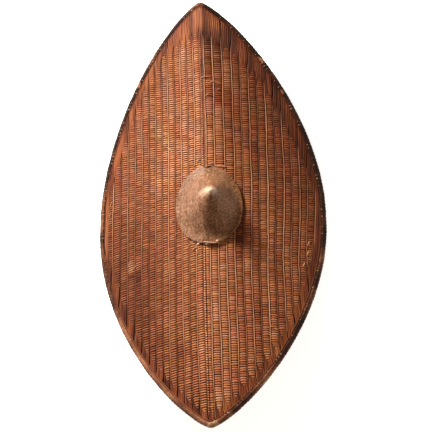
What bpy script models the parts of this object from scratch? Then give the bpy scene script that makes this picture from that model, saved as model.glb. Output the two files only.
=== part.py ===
"""Leaf-shaped wicker shield with a raised keel, a carved wooden boss, a hide rim and a grip.

The shield lies face up: +Y runs to its upper tip, +X to its right wing and +Z out of its face.
All shapes are worked out about the ridge line, and the datum then sets the shield on z = 0.
"""

import math

import bmesh
import bpy
from mathutils import Vector

# Woven body
SHIELD_LENGTH = 0.892
SHIELD_WIDTH = 0.460
KEEL_DEPTH = 0.099        # fall from the ridge to the widest edge
KEEL_ROUNDING = 0.38      # share of that fall that steepens towards the edge
OUTLINE_POINT = 1.80      # lower is sharper at the tips
OUTLINE_FULLNESS = 0.788  # lower is fuller along the sides
WIDEST_PLACE = -0.0120    # the widest place lies a little towards the lower tip
TIP_LEAN = 0.0075         # the hand-built tips drift to opposite sides
FLAT_SPOT = 0.034         # straight run of each edge that the shield rests on
CANE_THICKNESS = 0.0056
RIB_PITCH = 0.0172
RIB_WIDTH = 0.0050
RIB_RISE = 0.0011

# Hide folded over the edge
RIM_LAP = 0.0075
HIDE_THICKNESS = 0.0016
RIM_BULGE = 0.0012

# Carved boss
BOSS_WIDTH = 0.133
BOSS_LENGTH = 0.164
BOSS_OFFSET_X = 0.0060
BOSS_OFFSET_Y = -0.0067
BOSS_HEIGHT = 0.063       # peak above the middle of the ridge
PEAK_OFFSET_X = 0.0188
PEAK_OFFSET_Y = 0.0005
BOSS_EDGE = 0.0042        # thickness of the brim at its edge
CONE_BASE = 0.70          # share of the brim's radius where the cone's flank would meet the brim
CONE_TIP_ROUNDING = 0.06  # rounding of the worn peak, as a share of the brim's radius
CONE_FILLET = 0.16        # softness of the bend from flank to brim, as a share of the height
PEAK_DRIFT = 1.3          # how soon the rings of the cone drift over to the peak
DRAPE_START = 0.15        # shares of the radius between which the level cone
DRAPE_END = 0.95          # turns into a brim that follows the keel
BRIM_CHAMFER = 0.4        # share of the brim's edge that rounds over
BRIM_CHAMFER_RUN = 0.015  # run of that rounding, as a share of the brim's radius

# Thongs that bind the boss and the grip through the cane
THONG_DIAMETER = 0.0034
LASHING_SPAN = 0.0240
LASHING_INSET = 0.0055    # from the end of the brim to the middle of the thong
GRIP_LOOP_DROP = 0.0015   # slack of each thong under the foot of the grip

# Wooden grip behind the boss
GRIP_WIDTH = 0.0190
GRIP_THICKNESS = 0.0150
GRIP_DEPTH = 0.0600       # from the ridge to the outer face of the bar
GRIP_FACE_LENGTH = 0.0920
FINGER_GAP_LENGTH = 0.0800
LEG_SWEEP = 0.0180        # run of the curve from the bar up to the cane, inside each leg
FOOT_LENGTH = 0.0195
FOOT_OVERHANG = 0.0130    # from the middle of the thong to the end of the foot
FOOT_THICKNESS = 0.0090
GRIP_ROUNDING = 0.0025

FIT_GAP = 0.0004

HALF_LENGTH = SHIELD_LENGTH / 2
HALF_WIDTH = SHIELD_WIDTH / 2
RIBBED_THICKNESS = CANE_THICKNESS + 2 * RIB_RISE
OUTLINE_STEPS = 22
BOSS_RINGS = 13
BOSS_SIDES = 44
GRIP_STEPS = 36
CUTTER_DEPTH = 0.12
CUTTER_MARGIN = 1.2


def smoothstep(low, high, value):
    share = min(1.0, max(0.0, (value - low) / (high - low)))
    return share * share * (3 - 2 * share)


def keel_drop(lateral):
    """Fall of the middle of the cane below the ridge, at a distance from the centre line."""
    share = abs(lateral) / HALF_WIDTH
    return KEEL_DEPTH * ((1 - KEEL_ROUNDING) * share + KEEL_ROUNDING * share * share)


def keel_slope(lateral):
    share = abs(lateral) / HALF_WIDTH
    return KEEL_DEPTH / HALF_WIDTH * ((1 - KEEL_ROUNDING) + 2 * KEEL_ROUNDING * share)


def centre_line(y):
    along = y / HALF_LENGTH
    return -TIP_LEAN * along * abs(along)


def face_height(lateral, clearance=0.0):
    """Height of the plane that touches the front ribs, measured along +Z, plus a clearance."""
    stretch = math.hypot(1.0, keel_slope(lateral))
    return -keel_drop(lateral) + (RIBBED_THICKNESS / 2 + clearance) * stretch


def back_height(lateral, clearance=0.0):
    stretch = math.hypot(1.0, keel_slope(lateral))
    return -keel_drop(lateral) - (RIBBED_THICKNESS / 2 + clearance) * stretch


def lateral_at(arc):
    """Sideways distance reached after a length of arc measured down one wing."""
    steps = 60
    lateral = 0.0
    for _ in range(steps):
        lateral += arc / steps / math.hypot(1.0, keel_slope(lateral))
    return lateral


def outline_ring(inset):
    """Leaf outline as (lateral, y) points, anticlockwise from the lower tip."""
    reach = HALF_WIDTH - inset
    right_side = []
    for end in (-1, 1):
        start = WIDEST_PLACE + end * FLAT_SPOT / 2
        tip = end * (HALF_LENGTH - inset)
        stations = [math.sin(math.pi / 2 * step / OUTLINE_STEPS) for step in range(OUTLINE_STEPS)]
        half = [
            (reach * (1 - share**OUTLINE_POINT) ** OUTLINE_FULLNESS, start + share * (tip - start))
            for share in stations
        ]
        half.append((0.0, tip))
        right_side += half[::-1] if end < 0 else half
    left_side = [(-lateral, y) for lateral, y in right_side[-2:0:-1]]
    return right_side + left_side


def make_collection(name):
    collection = bpy.data.collections.new(name)
    bpy.context.scene.collection.children.link(collection)
    return collection


def make_material(name, colour, roughness):
    material = bpy.data.materials.new(name)
    material.use_nodes = True
    shader = material.node_tree.nodes["Principled BSDF"]
    shader.inputs["Base Color"].default_value = (*colour, 1.0)
    shader.inputs["Roughness"].default_value = roughness
    shader.inputs["Metallic"].default_value = 0.0
    material.diffuse_color = (*colour, 1.0)
    return material


def add_object(name, data, collection, material=None):
    thing = bpy.data.objects.new(name, data)
    collection.objects.link(thing)
    thing.parent = datum
    if material:
        data.materials.append(material)
    else:
        thing.hide_render = True
        thing.display_type = "WIRE"
    return thing


def mesh_from_bmesh(name, bm):
    mesh = bpy.data.meshes.new(name)
    bm.to_mesh(mesh)
    bm.free()
    return mesh


def mesh_from_curve(name, curve):
    """Closed mesh of a filled or bevelled curve, with its loose caps joined on."""
    holder = bpy.data.objects.new(name, curve)
    bpy.context.scene.collection.objects.link(holder)
    bpy.context.view_layer.update()
    evaluated = holder.evaluated_get(bpy.context.evaluated_depsgraph_get())
    mesh = bpy.data.meshes.new_from_object(evaluated)
    bpy.data.objects.remove(holder)
    bpy.data.curves.remove(curve)
    bm = bmesh.new()
    bm.from_mesh(mesh)
    bmesh.ops.remove_doubles(bm, verts=bm.verts, dist=0.00001)
    bmesh.ops.dissolve_limit(bm, angle_limit=math.radians(0.5), verts=bm.verts, edges=bm.edges)
    bmesh.ops.recalc_face_normals(bm, faces=bm.faces)
    bm.to_mesh(mesh)
    bm.free()
    mesh.name = name
    return mesh


def flat_curve(name, points, depth):
    """Filled outline in its own XY plane, as thick as the given depth."""
    curve = bpy.data.curves.new(name, "CURVE")
    curve.dimensions = "2D"
    curve.fill_mode = "BOTH"
    curve.extrude = depth / 2
    spline = curve.splines.new("POLY")
    spline.points.add(len(points) - 1)
    for point, (x, y) in zip(spline.points, points):
        point.co = (x, y, 0.0, 1.0)
    spline.use_cyclic_u = True
    return curve


def cut(thing, cutter, operation="DIFFERENCE"):
    modifier = thing.modifiers.new(cutter.name, "BOOLEAN")
    modifier.operation = operation
    modifier.solver = "EXACT"
    modifier.object = cutter


def keel_sheet(stations, rows, height):
    """Grid bent over the keel: one column of points at each lateral station."""
    bm = bmesh.new()
    bmesh.ops.create_grid(bm, x_segments=len(stations) - 1, y_segments=len(rows) - 1, size=0.5)
    for vert in bm.verts:
        lateral = stations[round((vert.co.x + 0.5) * (len(stations) - 1))]
        y = rows[round((vert.co.y + 0.5) * (len(rows) - 1))]
        vert.co = (centre_line(y) + lateral, y, height(lateral))
    return bm


def even_steps(low, high, count):
    return [low + (high - low) * step / count for step in range(count + 1)]


def rib_arcs():
    """Distances down a wing at which the upright ribs stand."""
    wing_arc = 0.0
    steps = 200
    for step in range(steps):
        wing_arc += HALF_WIDTH / steps * math.hypot(1.0, keel_slope(HALF_WIDTH * step / steps))
    count = int((wing_arc - RIM_LAP) / RIB_PITCH + 0.5)
    return [RIB_PITCH * (number + 0.5) for number in range(count)]


def make_outline_cutter():
    points = [(centre_line(y) + lateral, y) for lateral, y in outline_ring(0.0)]
    tall = 4 * (KEEL_DEPTH + RIBBED_THICKNESS)
    mesh = mesh_from_curve("outline_cutter", flat_curve("outline_cutter", points, tall))
    return add_object("outline_cutter", mesh, cutters)


def make_keel_cutter(name, height, rise):
    """Solid block on one side of the cane, used to seat the boss or the grip on it."""
    reach = (max(BOSS_WIDTH, GRIP_WIDTH) / 2 + abs(BOSS_OFFSET_X)) * CUTTER_MARGIN
    length = (BOSS_LENGTH / 2 + abs(BOSS_OFFSET_Y) + FOOT_OVERHANG) * CUTTER_MARGIN
    stations = even_steps(-reach, reach, 24)
    rows = even_steps(-length, length, 8)
    bm = keel_sheet(stations, rows, height)
    made = bmesh.ops.extrude_face_region(bm, geom=bm.faces[:], use_keep_orig=True)
    for vert in [item for item in made["geom"] if isinstance(item, bmesh.types.BMVert)]:
        vert.co.z += rise
    bmesh.ops.recalc_face_normals(bm, faces=bm.faces)
    return add_object(name, mesh_from_bmesh(name, bm), cutters)


def lashing_rows():
    """Where the two thongs cross the brim, near its upper and its lower end."""
    reach = BOSS_LENGTH / 2 - LASHING_INSET
    return {"lower": BOSS_OFFSET_Y - reach, "upper": BOSS_OFFSET_Y + reach}


def make_thong_holes():
    bm = bmesh.new()
    radius = THONG_DIAMETER / 2 + FIT_GAP
    for y in lashing_rows().values():
        for side in (-1, 1):
            made = bmesh.ops.create_cone(
                bm, cap_ends=True, segments=12, radius1=radius, radius2=radius, depth=CUTTER_DEPTH
            )
            x = BOSS_OFFSET_X + side * LASHING_SPAN / 2
            bmesh.ops.translate(bm, verts=made["verts"], vec=(x, y, 0.0))
    return add_object("thong_holes", mesh_from_bmesh("thong_holes", bm), cutters)


def make_wicker_body():
    """Keeled cane shell with upright ribs, trimmed to the leaf outline."""
    stations = [0.0]
    rib_stations = []
    for arc in rib_arcs():
        stations += [lateral_at(arc + step * RIB_WIDTH / 2) for step in (-1, 0, 1)]
        rib_stations.append(stations[-2])
    stations.append(max(HALF_WIDTH + 2 * RIM_LAP, stations[-1] + RIM_LAP))
    stations = [-station for station in stations[:0:-1]] + stations
    beyond = HALF_LENGTH + 2 * RIM_LAP
    bm = keel_sheet(stations, even_steps(-beyond, beyond, 12), lambda lateral: -keel_drop(lateral))
    body = add_object("wicker_body", mesh_from_bmesh("wicker_body", bm), parts, cane)
    ribs = body.vertex_groups.new(name="ribs")
    for vert in body.data.vertices:
        lateral = vert.co.x - centre_line(vert.co.y)
        on_rib = any(abs(abs(lateral) - station) < 0.00001 for station in rib_stations)
        ribs.add([vert.index], 1.0 if on_rib else 0.0, "REPLACE")
    shell = body.modifiers.new("cane thickness", "SOLIDIFY")
    shell.thickness = RIBBED_THICKNESS
    shell.offset = 0.0
    shell.use_even_offset = True
    shell.vertex_group = "ribs"
    shell.thickness_vertex_group = CANE_THICKNESS / RIBBED_THICKNESS
    cut(body, outline_cutter, "INTERSECT")
    cut(body, thong_holes)
    return body


def make_rim_binding():
    """Hide strip folded round the edge: lap, fold and lap, swept along the outline."""
    inner = outline_ring(RIM_LAP)
    fold = outline_ring(-FIT_GAP)
    crown = outline_ring(-FIT_GAP - RIM_BULGE)
    front_lap = [(lateral, y, face_height(lateral, FIT_GAP)) for lateral, y in inner]
    front_fold = [(lateral, y, face_height(lateral, FIT_GAP)) for lateral, y in fold]
    edge = [(lateral, y, -keel_drop(lateral)) for lateral, y in crown]
    back_fold = [(lateral, y, back_height(lateral, FIT_GAP)) for lateral, y in fold]
    back_lap = [(lateral, y, back_height(lateral, FIT_GAP)) for lateral, y in inner]
    lines = [front_lap, front_fold, edge, back_fold, back_lap]
    bm = bmesh.new()
    rows = [[bm.verts.new((centre_line(y) + lateral, y, z)) for lateral, y, z in line] for line in lines]
    for near, far in zip(rows, rows[1:]):
        for index in range(len(near)):
            after = (index + 1) % len(near)
            bm.faces.new((near[index], far[index], far[after], near[after]))
    rim = add_object("rim_binding", mesh_from_bmesh("rim_binding", bm), parts, hide)
    fold_over = rim.modifiers.new("hide thickness", "SOLIDIFY")
    fold_over.thickness = HIDE_THICKNESS
    fold_over.offset = 1.0
    fold_over.use_even_offset = True
    return rim


def cone_profile(share):
    """Straight flank with a rounded peak and a soft bend into the brim, before it is scaled."""
    flank = 1 - (math.hypot(share, CONE_TIP_ROUNDING) - CONE_TIP_ROUNDING) / CONE_BASE
    return (flank + math.hypot(flank, CONE_FILLET)) / 2


def boss_rise(share):
    """Height of the boss above the cane, from 1 at the brim's edge to 0 at the peak."""
    at_edge = cone_profile(1.0)
    part = (cone_profile(share) - at_edge) / (cone_profile(0.0) - at_edge)
    return BOSS_EDGE + (BOSS_HEIGHT - BOSS_EDGE) * part


def boss_point(share, angle):
    """Point of the carved face: the brim is draped over the keel, the cone stands level."""
    towards_peak = (1 - share) ** PEAK_DRIFT
    x = BOSS_OFFSET_X + (PEAK_OFFSET_X - BOSS_OFFSET_X) * towards_peak
    y = BOSS_OFFSET_Y + (PEAK_OFFSET_Y - BOSS_OFFSET_Y) * towards_peak
    x += share * BOSS_WIDTH / 2 * math.cos(angle)
    y += share * BOSS_LENGTH / 2 * math.sin(angle)
    draped = smoothstep(DRAPE_START, DRAPE_END, share)
    return Vector((x, y, draped * face_height(x - centre_line(y)) + boss_rise(share)))


def make_boss():
    """Rings of the carved face over a deep skirt, which the keel then cuts to fit."""
    bm = bmesh.new()
    angles = [2 * math.pi * step / BOSS_SIDES for step in range(BOSS_SIDES)]
    shares = [1 - (step / BOSS_RINGS) for step in range(BOSS_RINGS)]
    skirt = []
    brim = []
    for angle in angles:
        edge = boss_point(1.0, angle)
        skirt.append(bm.verts.new((edge.x, edge.y, edge.z - CUTTER_DEPTH / 2)))
        brim.append(bm.verts.new((edge.x, edge.y, edge.z - BOSS_EDGE * BRIM_CHAMFER)))
    rings = [skirt, brim]
    for share in [1 - BRIM_CHAMFER_RUN] + shares[1:]:
        rings.append([bm.verts.new(boss_point(share, angle)) for angle in angles])
    for lower, upper in zip(rings, rings[1:]):
        for index in range(BOSS_SIDES):
            after = (index + 1) % BOSS_SIDES
            bm.faces.new((lower[index], lower[after], upper[after], upper[index]))
    peak = bm.verts.new(boss_point(0.0, 0.0))
    for index in range(BOSS_SIDES):
        bm.faces.new((rings[-1][index], rings[-1][(index + 1) % BOSS_SIDES], peak))
    bm.faces.new(skirt[::-1])
    boss = add_object("boss", mesh_from_bmesh("boss", bm), parts, boss_wood)
    boss.data.shade_smooth()
    cut(boss, front_cutter)
    cut(boss, thong_holes)
    return boss


def make_grip():
    """Wooden bar on two feet, arched away from the cane to leave room for the fingers."""
    foot_end = BOSS_LENGTH / 2 - LASHING_INSET + FOOT_OVERHANG
    foot_start = foot_end - FOOT_LENGTH
    flat_half = GRIP_FACE_LENGTH / 2
    gap_half = FINGER_GAP_LENGTH / 2
    foot_face = -back_height(GRIP_WIDTH / 2 + abs(BOSS_OFFSET_X)) + FOOT_THICKNESS
    bar_top = GRIP_DEPTH - GRIP_THICKNESS
    sweep = even_steps(-foot_end, foot_end, GRIP_STEPS)
    outer = []
    inner = []
    for y in sweep:
        to_foot = smoothstep(flat_half, foot_start, abs(y))
        outer.append((y, -GRIP_DEPTH + to_foot * (GRIP_DEPTH - foot_face)))
        to_cane = smoothstep(gap_half, gap_half + LEG_SWEEP, abs(y))
        inner.append((y, -bar_top + to_cane * (bar_top + RIBBED_THICKNESS)))
    curve = flat_curve("grip", outer + inner[::-1], GRIP_WIDTH)
    mesh = mesh_from_curve("grip", curve)
    grip = add_object("grip", mesh, parts, grip_wood)
    grip.location = (BOSS_OFFSET_X, BOSS_OFFSET_Y, 0.0)
    grip.rotation_euler = (math.radians(90), 0.0, math.radians(90))
    edges = grip.modifiers.new("worn edges", "BEVEL")
    edges.width = GRIP_ROUNDING
    edges.segments = 2
    edges.limit_method = "ANGLE"
    edges.angle_limit = math.radians(60)
    cut(grip, back_cutter)
    return grip


def make_lashing(name, y):
    """Closed loop of thong over the brim, through the cane and under the foot of the grip."""
    left = BOSS_OFFSET_X - LASHING_SPAN / 2
    right = BOSS_OFFSET_X + LASHING_SPAN / 2
    share = abs(y - BOSS_OFFSET_Y) / (BOSS_LENGTH / 2)
    lift = boss_rise(share) + THONG_DIAMETER / 2 + 2 * FIT_GAP
    foot_face = -back_height(GRIP_WIDTH / 2 + abs(BOSS_OFFSET_X)) + FOOT_THICKNESS
    bottom = -foot_face - THONG_DIAMETER / 2 - FIT_GAP - GRIP_LOOP_DROP
    points = [(x, face_height(x - centre_line(y)) + lift) for x in even_steps(left, right, 8)]
    points += [(right, bottom / 2), (right, bottom + THONG_DIAMETER), (right - THONG_DIAMETER / 2, bottom)]
    points += [(left + THONG_DIAMETER / 2, bottom), (left, bottom + THONG_DIAMETER), (left, bottom / 2)]
    curve = bpy.data.curves.new(name, "CURVE")
    curve.dimensions = "3D"
    curve.bevel_depth = THONG_DIAMETER / 2
    curve.bevel_resolution = 2
    spline = curve.splines.new("POLY")
    spline.points.add(len(points) - 1)
    for point, (x, z) in zip(spline.points, points):
        point.co = (x, y, z, 1.0)
    spline.use_cyclic_u = True
    return add_object(name, mesh_from_curve(name, curve), parts, thong)


def set_on_ground():
    """Move the datum so that the shield's box stands centred on the origin."""
    bpy.context.view_layer.update()
    depsgraph = bpy.context.evaluated_depsgraph_get()
    corners = []
    for part in parts.objects:
        evaluated = part.evaluated_get(depsgraph)
        mesh = evaluated.to_mesh()
        corners += [evaluated.matrix_world @ vert.co for vert in mesh.vertices]
        evaluated.to_mesh_clear()
    low = [min(corner[axis] for corner in corners) for axis in range(3)]
    high = [max(corner[axis] for corner in corners) for axis in range(3)]
    datum.location = (-(low[0] + high[0]) / 2, -(low[1] + high[1]) / 2, -low[2])


for old in list(bpy.data.objects):
    bpy.data.objects.remove(old)

parts = make_collection("wicker_shield")
cutters = make_collection("shield_cutters")
datum = bpy.data.objects.new("shield_datum", None)
bpy.context.scene.collection.objects.link(datum)

cane = make_material("reddish_cane", (0.36, 0.13, 0.06), 0.55)
hide = make_material("dark_hide", (0.045, 0.024, 0.016), 0.6)
boss_wood = make_material("grey_brown_wood", (0.30, 0.17, 0.10), 0.5)
grip_wood = make_material("handled_wood", (0.16, 0.08, 0.045), 0.45)
thong = make_material("pale_thong", (0.48, 0.30, 0.19), 0.7)

outline_cutter = make_outline_cutter()
front_cutter = make_keel_cutter("front_cutter", lambda x: face_height(x, FIT_GAP), -CUTTER_DEPTH)
back_cutter = make_keel_cutter("back_cutter", lambda x: back_height(x, FIT_GAP), CUTTER_DEPTH)
thong_holes = make_thong_holes()

make_wicker_body()
make_rim_binding()
make_boss()
make_grip()
for where, row in lashing_rows().items():
    make_lashing(where + "_lashing", row)
set_on_ground()
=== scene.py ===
import bisect
import math
import random

import bmesh
import bpy
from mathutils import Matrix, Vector
from mathutils import noise as mathNoise


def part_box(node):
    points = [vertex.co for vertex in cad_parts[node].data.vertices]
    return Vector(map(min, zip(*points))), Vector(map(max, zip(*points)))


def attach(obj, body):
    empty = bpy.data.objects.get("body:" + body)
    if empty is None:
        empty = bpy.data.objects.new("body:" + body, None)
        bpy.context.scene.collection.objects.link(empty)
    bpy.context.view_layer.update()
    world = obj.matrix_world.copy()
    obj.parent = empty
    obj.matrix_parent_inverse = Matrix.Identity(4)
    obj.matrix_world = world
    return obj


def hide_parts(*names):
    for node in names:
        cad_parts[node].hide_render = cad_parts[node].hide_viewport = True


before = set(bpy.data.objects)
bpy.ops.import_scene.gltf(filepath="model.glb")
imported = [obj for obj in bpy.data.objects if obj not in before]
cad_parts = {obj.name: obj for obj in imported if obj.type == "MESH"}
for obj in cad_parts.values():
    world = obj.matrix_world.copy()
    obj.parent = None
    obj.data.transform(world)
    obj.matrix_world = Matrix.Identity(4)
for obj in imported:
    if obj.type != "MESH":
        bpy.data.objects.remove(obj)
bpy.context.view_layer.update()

# The shield's form, in metres: a leaf-shaped sheet folded along its ridge.
form = {
    "length": 0.892,
    "width": 0.460,
    "keelDepth": 0.099,
    "keelRounding": 0.38,
    "outlinePoint": 1.80,
    "outlineFullness": 0.788,
    "widestPlace": -0.0120,
    "tipLean": 0.0075,
    "flatSpot": 0.034,
    "ribbedThickness": 0.0078,
}
halfLength = form["length"] / 2
halfWidth = form["width"] / 2
ridgeSlope = form["keelDepth"] / halfWidth * (1 - form["keelRounding"])
ridgeTop = form["ribbedThickness"] / 2 * math.hypot(1.0, ridgeSlope)
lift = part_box("wicker_body")[1][2] - ridgeTop


def keelDrop(lateral):
    share = abs(lateral) / halfWidth
    rounding = form["keelRounding"]
    return form["keelDepth"] * ((1 - rounding) * share + rounding * share * share)


def keelSlope(lateral):
    share = abs(lateral) / halfWidth
    rounding = form["keelRounding"]
    return form["keelDepth"] / halfWidth * ((1 - rounding) + 2 * rounding * share)


def centreLine(y):
    along = y / halfLength
    return -form["tipLean"] * along * abs(along)


def onShield(lateral, y, height):
    # a point at a height above the sheet's middle layer
    slope = math.copysign(keelSlope(lateral), lateral)
    run = math.hypot(1.0, slope)
    return Vector((
        lateral + centreLine(y) + height * slope / run,
        y,
        lift - keelDrop(lateral) + height / run,
    ))


def armEnds(upper, inset=0.0):
    # where one half of the outline starts, beside the widest place, and where its tip lies
    sign = 1 if upper else -1
    return form["widestPlace"] + sign * form["flatSpot"] / 2, sign * (halfLength - inset)


def fullnessAt(share):
    # the half width, as a share of the widest, on the way from the widest place to a tip
    return max(0.0, 1 - share ** form["outlinePoint"]) ** form["outlineFullness"]


def edgeHeight(lateral, upper, inset=0.0):
    # how far up, or down, the outline crosses a given distance from the ridge
    start, tip = armEnds(upper, inset)
    part = min(1.0, abs(lateral) / (halfWidth - inset))
    share = (1 - part ** (1 / form["outlineFullness"])) ** (1 / form["outlinePoint"])
    return start + share * (tip - start)


def reachAt(y, inset, tipInset=None):
    # how far from the ridge the outline lies at a height up the shield
    start, tip = armEnds(y > form["widestPlace"], inset if tipInset is None else tipInset)
    share = max(0.0, min(1.0, (y - start) / (tip - start)))
    return (halfWidth - inset) * fullnessAt(share)


def outlinePath(inset, steps):
    # the outline as (lateral, y), anticlockwise from the lower tip
    right = []
    for upper in (False, True):
        start, tip = armEnds(upper, inset)
        arm = []
        for step in range(steps + 1):
            share = math.sin(math.pi / 2 * step / steps)
            arm.append(((halfWidth - inset) * fullnessAt(share), start + share * (tip - start)))
        right += arm if upper else arm[::-1]
    left = [(-lateral, y) for lateral, y in right[::-1]]
    return right + left[1:-1]


arcSteps = 600
arcSpan = halfWidth * 1.06
arcTable = [0.0]
for step in range(1, arcSteps + 1):
    middle = arcSpan * (step - 0.5) / arcSteps
    arcTable.append(arcTable[-1] + arcSpan / arcSteps * math.hypot(1.0, keelSlope(middle)))


def lateralAt(arc):
    # sideways distance after a walk down a wing
    distance = abs(arc)
    low = min(arcSteps - 1, bisect.bisect_right(arcTable, distance) - 1)
    part = (distance - arcTable[low]) / (arcTable[low + 1] - arcTable[low])
    return math.copysign(arcSpan * (low + part) / arcSteps, arc)


def smooth(low, high, value):
    # eased step from 0 at low to 1 at high, which may also run downwards
    share = max(0.0, min(1.0, (value - low) / (high - low)))
    return share * share * (3 - 2 * share)


# Small helpers for building node trees.
class Signal:
    # a node's output, which can be used in sums and products
    def __init__(self, socket):
        self.socket = socket
        self.tree = socket.id_data

    def __add__(self, other):
        return calc(self.tree, "ADD", self, other)

    def __radd__(self, other):
        return calc(self.tree, "ADD", other, self)

    def __sub__(self, other):
        return calc(self.tree, "SUBTRACT", self, other)

    def __rsub__(self, other):
        return calc(self.tree, "SUBTRACT", other, self)

    def __mul__(self, other):
        return calc(self.tree, "MULTIPLY", self, other)

    def __rmul__(self, other):
        return calc(self.tree, "MULTIPLY", other, self)

    def __truediv__(self, other):
        return calc(self.tree, "DIVIDE", self, other)

    def __pow__(self, other):
        return calc(self.tree, "POWER", self, other)

    def __abs__(self):
        return calc(self.tree, "ABSOLUTE", self)


def feed(node, sockets):
    # links outputs to a node's inputs, or sets the inputs to plain values
    for key, value in sockets.items():
        if isinstance(key, int):
            socket = node.inputs[key]
        else:
            socket = next(s for s in node.inputs if s.name == key and s.enabled)
        if isinstance(value, Signal):
            value.tree.links.new(value.socket, socket)
        else:
            socket.default_value = value


def put(tree, kind, sockets=None, **settings):
    node = tree.nodes.new(kind)
    for name, value in settings.items():
        setattr(node, name, value)
    feed(node, sockets or {})
    return node


def out(node, name=None):
    return Signal(next(s for s in node.outputs if s.enabled and name in (None, s.name)))


def read(tree, kind, name=None):
    return out(tree.nodes.new(kind), name)


def calc(tree, operation, *values):
    return out(put(tree, "ShaderNodeMath", dict(enumerate(values)), operation=operation))


def newTree(name, kind, inputs, outputs):
    # a node group; each input is a default number or the name of a kind of socket
    tree = bpy.data.node_groups.new(name, kind)
    for way, sockets in (("INPUT", inputs), ("OUTPUT", outputs)):
        for label, value in sockets.items():
            number = not isinstance(value, str)
            if number:
                kindName = "Int" if isinstance(value, int) else "Float"
            else:
                kindName = value
            socket = tree.interface.new_socket(
                name=label, in_out=way, socket_type="NodeSocket" + kindName)
            if number:
                socket.default_value = value
    return tree, tree.nodes.new("NodeGroupInput"), tree.nodes.new("NodeGroupOutput")


def newGeometryTree(name, inputs):
    # guide lines in, finished strands out
    inputs = {"Geometry": "Geometry", **inputs}
    return newTree(name, "GeometryNodeTree", inputs, {"Geometry": "Geometry"})


def field(tree, name):
    return out(put(tree, "GeometryNodeInputNamedAttribute", {"Name": name}, data_type="FLOAT"))


def store(tree, geometry, name, value, domain="POINT"):
    return out(put(
        tree, "GeometryNodeStoreNamedAttribute",
        {"Geometry": geometry, "Name": name, "Value": value},
        data_type="FLOAT", domain=domain,
    ))


def mapRange(tree, value, low, high, newLow, newHigh, smoothly=True):
    return out(put(
        tree, "ShaderNodeMapRange",
        {"Value": value, "From Min": low, "From Max": high, "To Min": newLow, "To Max": newHigh},
        interpolation_type="SMOOTHSTEP" if smoothly else "LINEAR",
    ))


def noise(tree, vector, scale, detail=2.0, roughness=0.5):
    return out(put(
        tree, "ShaderNodeTexNoise",
        {"Vector": vector, "Scale": scale, "Detail": detail, "Roughness": roughness},
    ), "Fac")


def combine(tree, x, y, z):
    return out(put(tree, "ShaderNodeCombineXYZ", {"X": x, "Y": y, "Z": z}))


def separate(tree, vector):
    node = put(tree, "ShaderNodeSeparateXYZ", {"Vector": vector})
    return out(node, "X"), out(node, "Y"), out(node, "Z")


def centred(tree, vector, scale, detail=2.0, roughness=0.5):
    # noise that swings about zero
    return noise(tree, vector, scale, detail, roughness) - 0.5


def randomBetween(tree, low, high, seed):
    return out(put(tree, "FunctionNodeRandomValue", {"Min": low, "Max": high, "Seed": seed}))


def moveBy(tree, geometry, offset):
    return out(put(tree, "GeometryNodeSetPosition", {"Geometry": geometry, "Offset": offset}))


def moveTo(tree, geometry, place):
    return out(put(tree, "GeometryNodeSetPosition", {"Geometry": geometry, "Position": place}))


def realize(tree, geometry):
    return out(put(tree, "GeometryNodeRealizeInstances", {"Geometry": geometry}))


def evenSteps(tree, source, step, extra=0.0):
    # the guide lines cut at even steps, and the length of each line
    curve = put(tree, "GeometryNodeMeshToCurve", {"Mesh": out(source, "Geometry")})
    length = read(tree, "GeometryNodeSplineLength", "Length")
    count = calc(tree, "ROUND", length / out(source, step)) + extra
    cut = put(tree, "GeometryNodeResampleCurve", {"Curve": out(curve), "Count": count}, mode="COUNT")
    return out(cut), length


def sweep(tree, path, sides, width, thickness, scale, caps):
    # a flattened ring drawn along a path, its width lying across and its thickness upright
    upright = put(tree, "GeometryNodeSetCurveNormal", {"Curve": path}, mode="Z_UP")
    ring = put(tree, "GeometryNodeCurvePrimitiveCircle", {"Resolution": sides, "Radius": 0.5})
    section = put(tree, "GeometryNodeTransform", {
        "Geometry": out(ring, "Curve"), "Scale": combine(tree, width, thickness, 1.0),
    })
    return out(put(tree, "GeometryNodeCurveToMesh", {
        "Curve": out(upright), "Profile Curve": out(section), "Scale": scale, "Fill Caps": caps,
    }))


def makeFoldTree():
    # bends flat work, (lateral, y, height), over the ridge
    tree, source, result = newGeometryTree("foldOverRidge", {
        "Half Width": halfWidth,
        "Half Length": halfLength,
        "Keel Depth": form["keelDepth"],
        "Keel Rounding": form["keelRounding"],
        "Tip Lean": form["tipLean"],
        "Lift": lift,
    })
    depth = out(source, "Keel Depth")
    x, y, z = separate(tree, read(tree, "GeometryNodeInputPosition"))
    share = abs(x) / out(source, "Half Width")
    straight = 1.0 - out(source, "Keel Rounding")
    curved = out(source, "Keel Rounding") * share
    drop = (straight + curved) * share * depth
    slope = (straight + 2.0 * curved) * depth / out(source, "Half Width")
    run = calc(tree, "SQRT", 1.0 + slope * slope)
    outward = slope * calc(tree, "SIGN", x) / run
    along = y / out(source, "Half Length")
    lean = along * abs(along) * out(source, "Tip Lean")
    newX = x + z * outward - lean
    newZ = out(source, "Lift") - drop + z / run
    folded = moveTo(tree, out(source, "Geometry"), combine(tree, newX, y, newZ))
    feed(result, {"Geometry": folded})
    return tree


foldTree = makeFoldTree()


def finishTree(tree, geometry, source, result):
    # folds the strands over the ridge and gives them their material
    folded = put(tree, "GeometryNodeGroup", {"Geometry": geometry}, node_tree=foldTree)
    shaded = put(tree, "GeometryNodeSetShadeSmooth", {"Geometry": realize(tree, out(folded))})
    painted = put(tree, "GeometryNodeSetMaterial", {
        "Geometry": out(shaded), "Material": out(source, "Material"),
    })
    feed(result, {"Geometry": out(painted)})
    return tree


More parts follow.
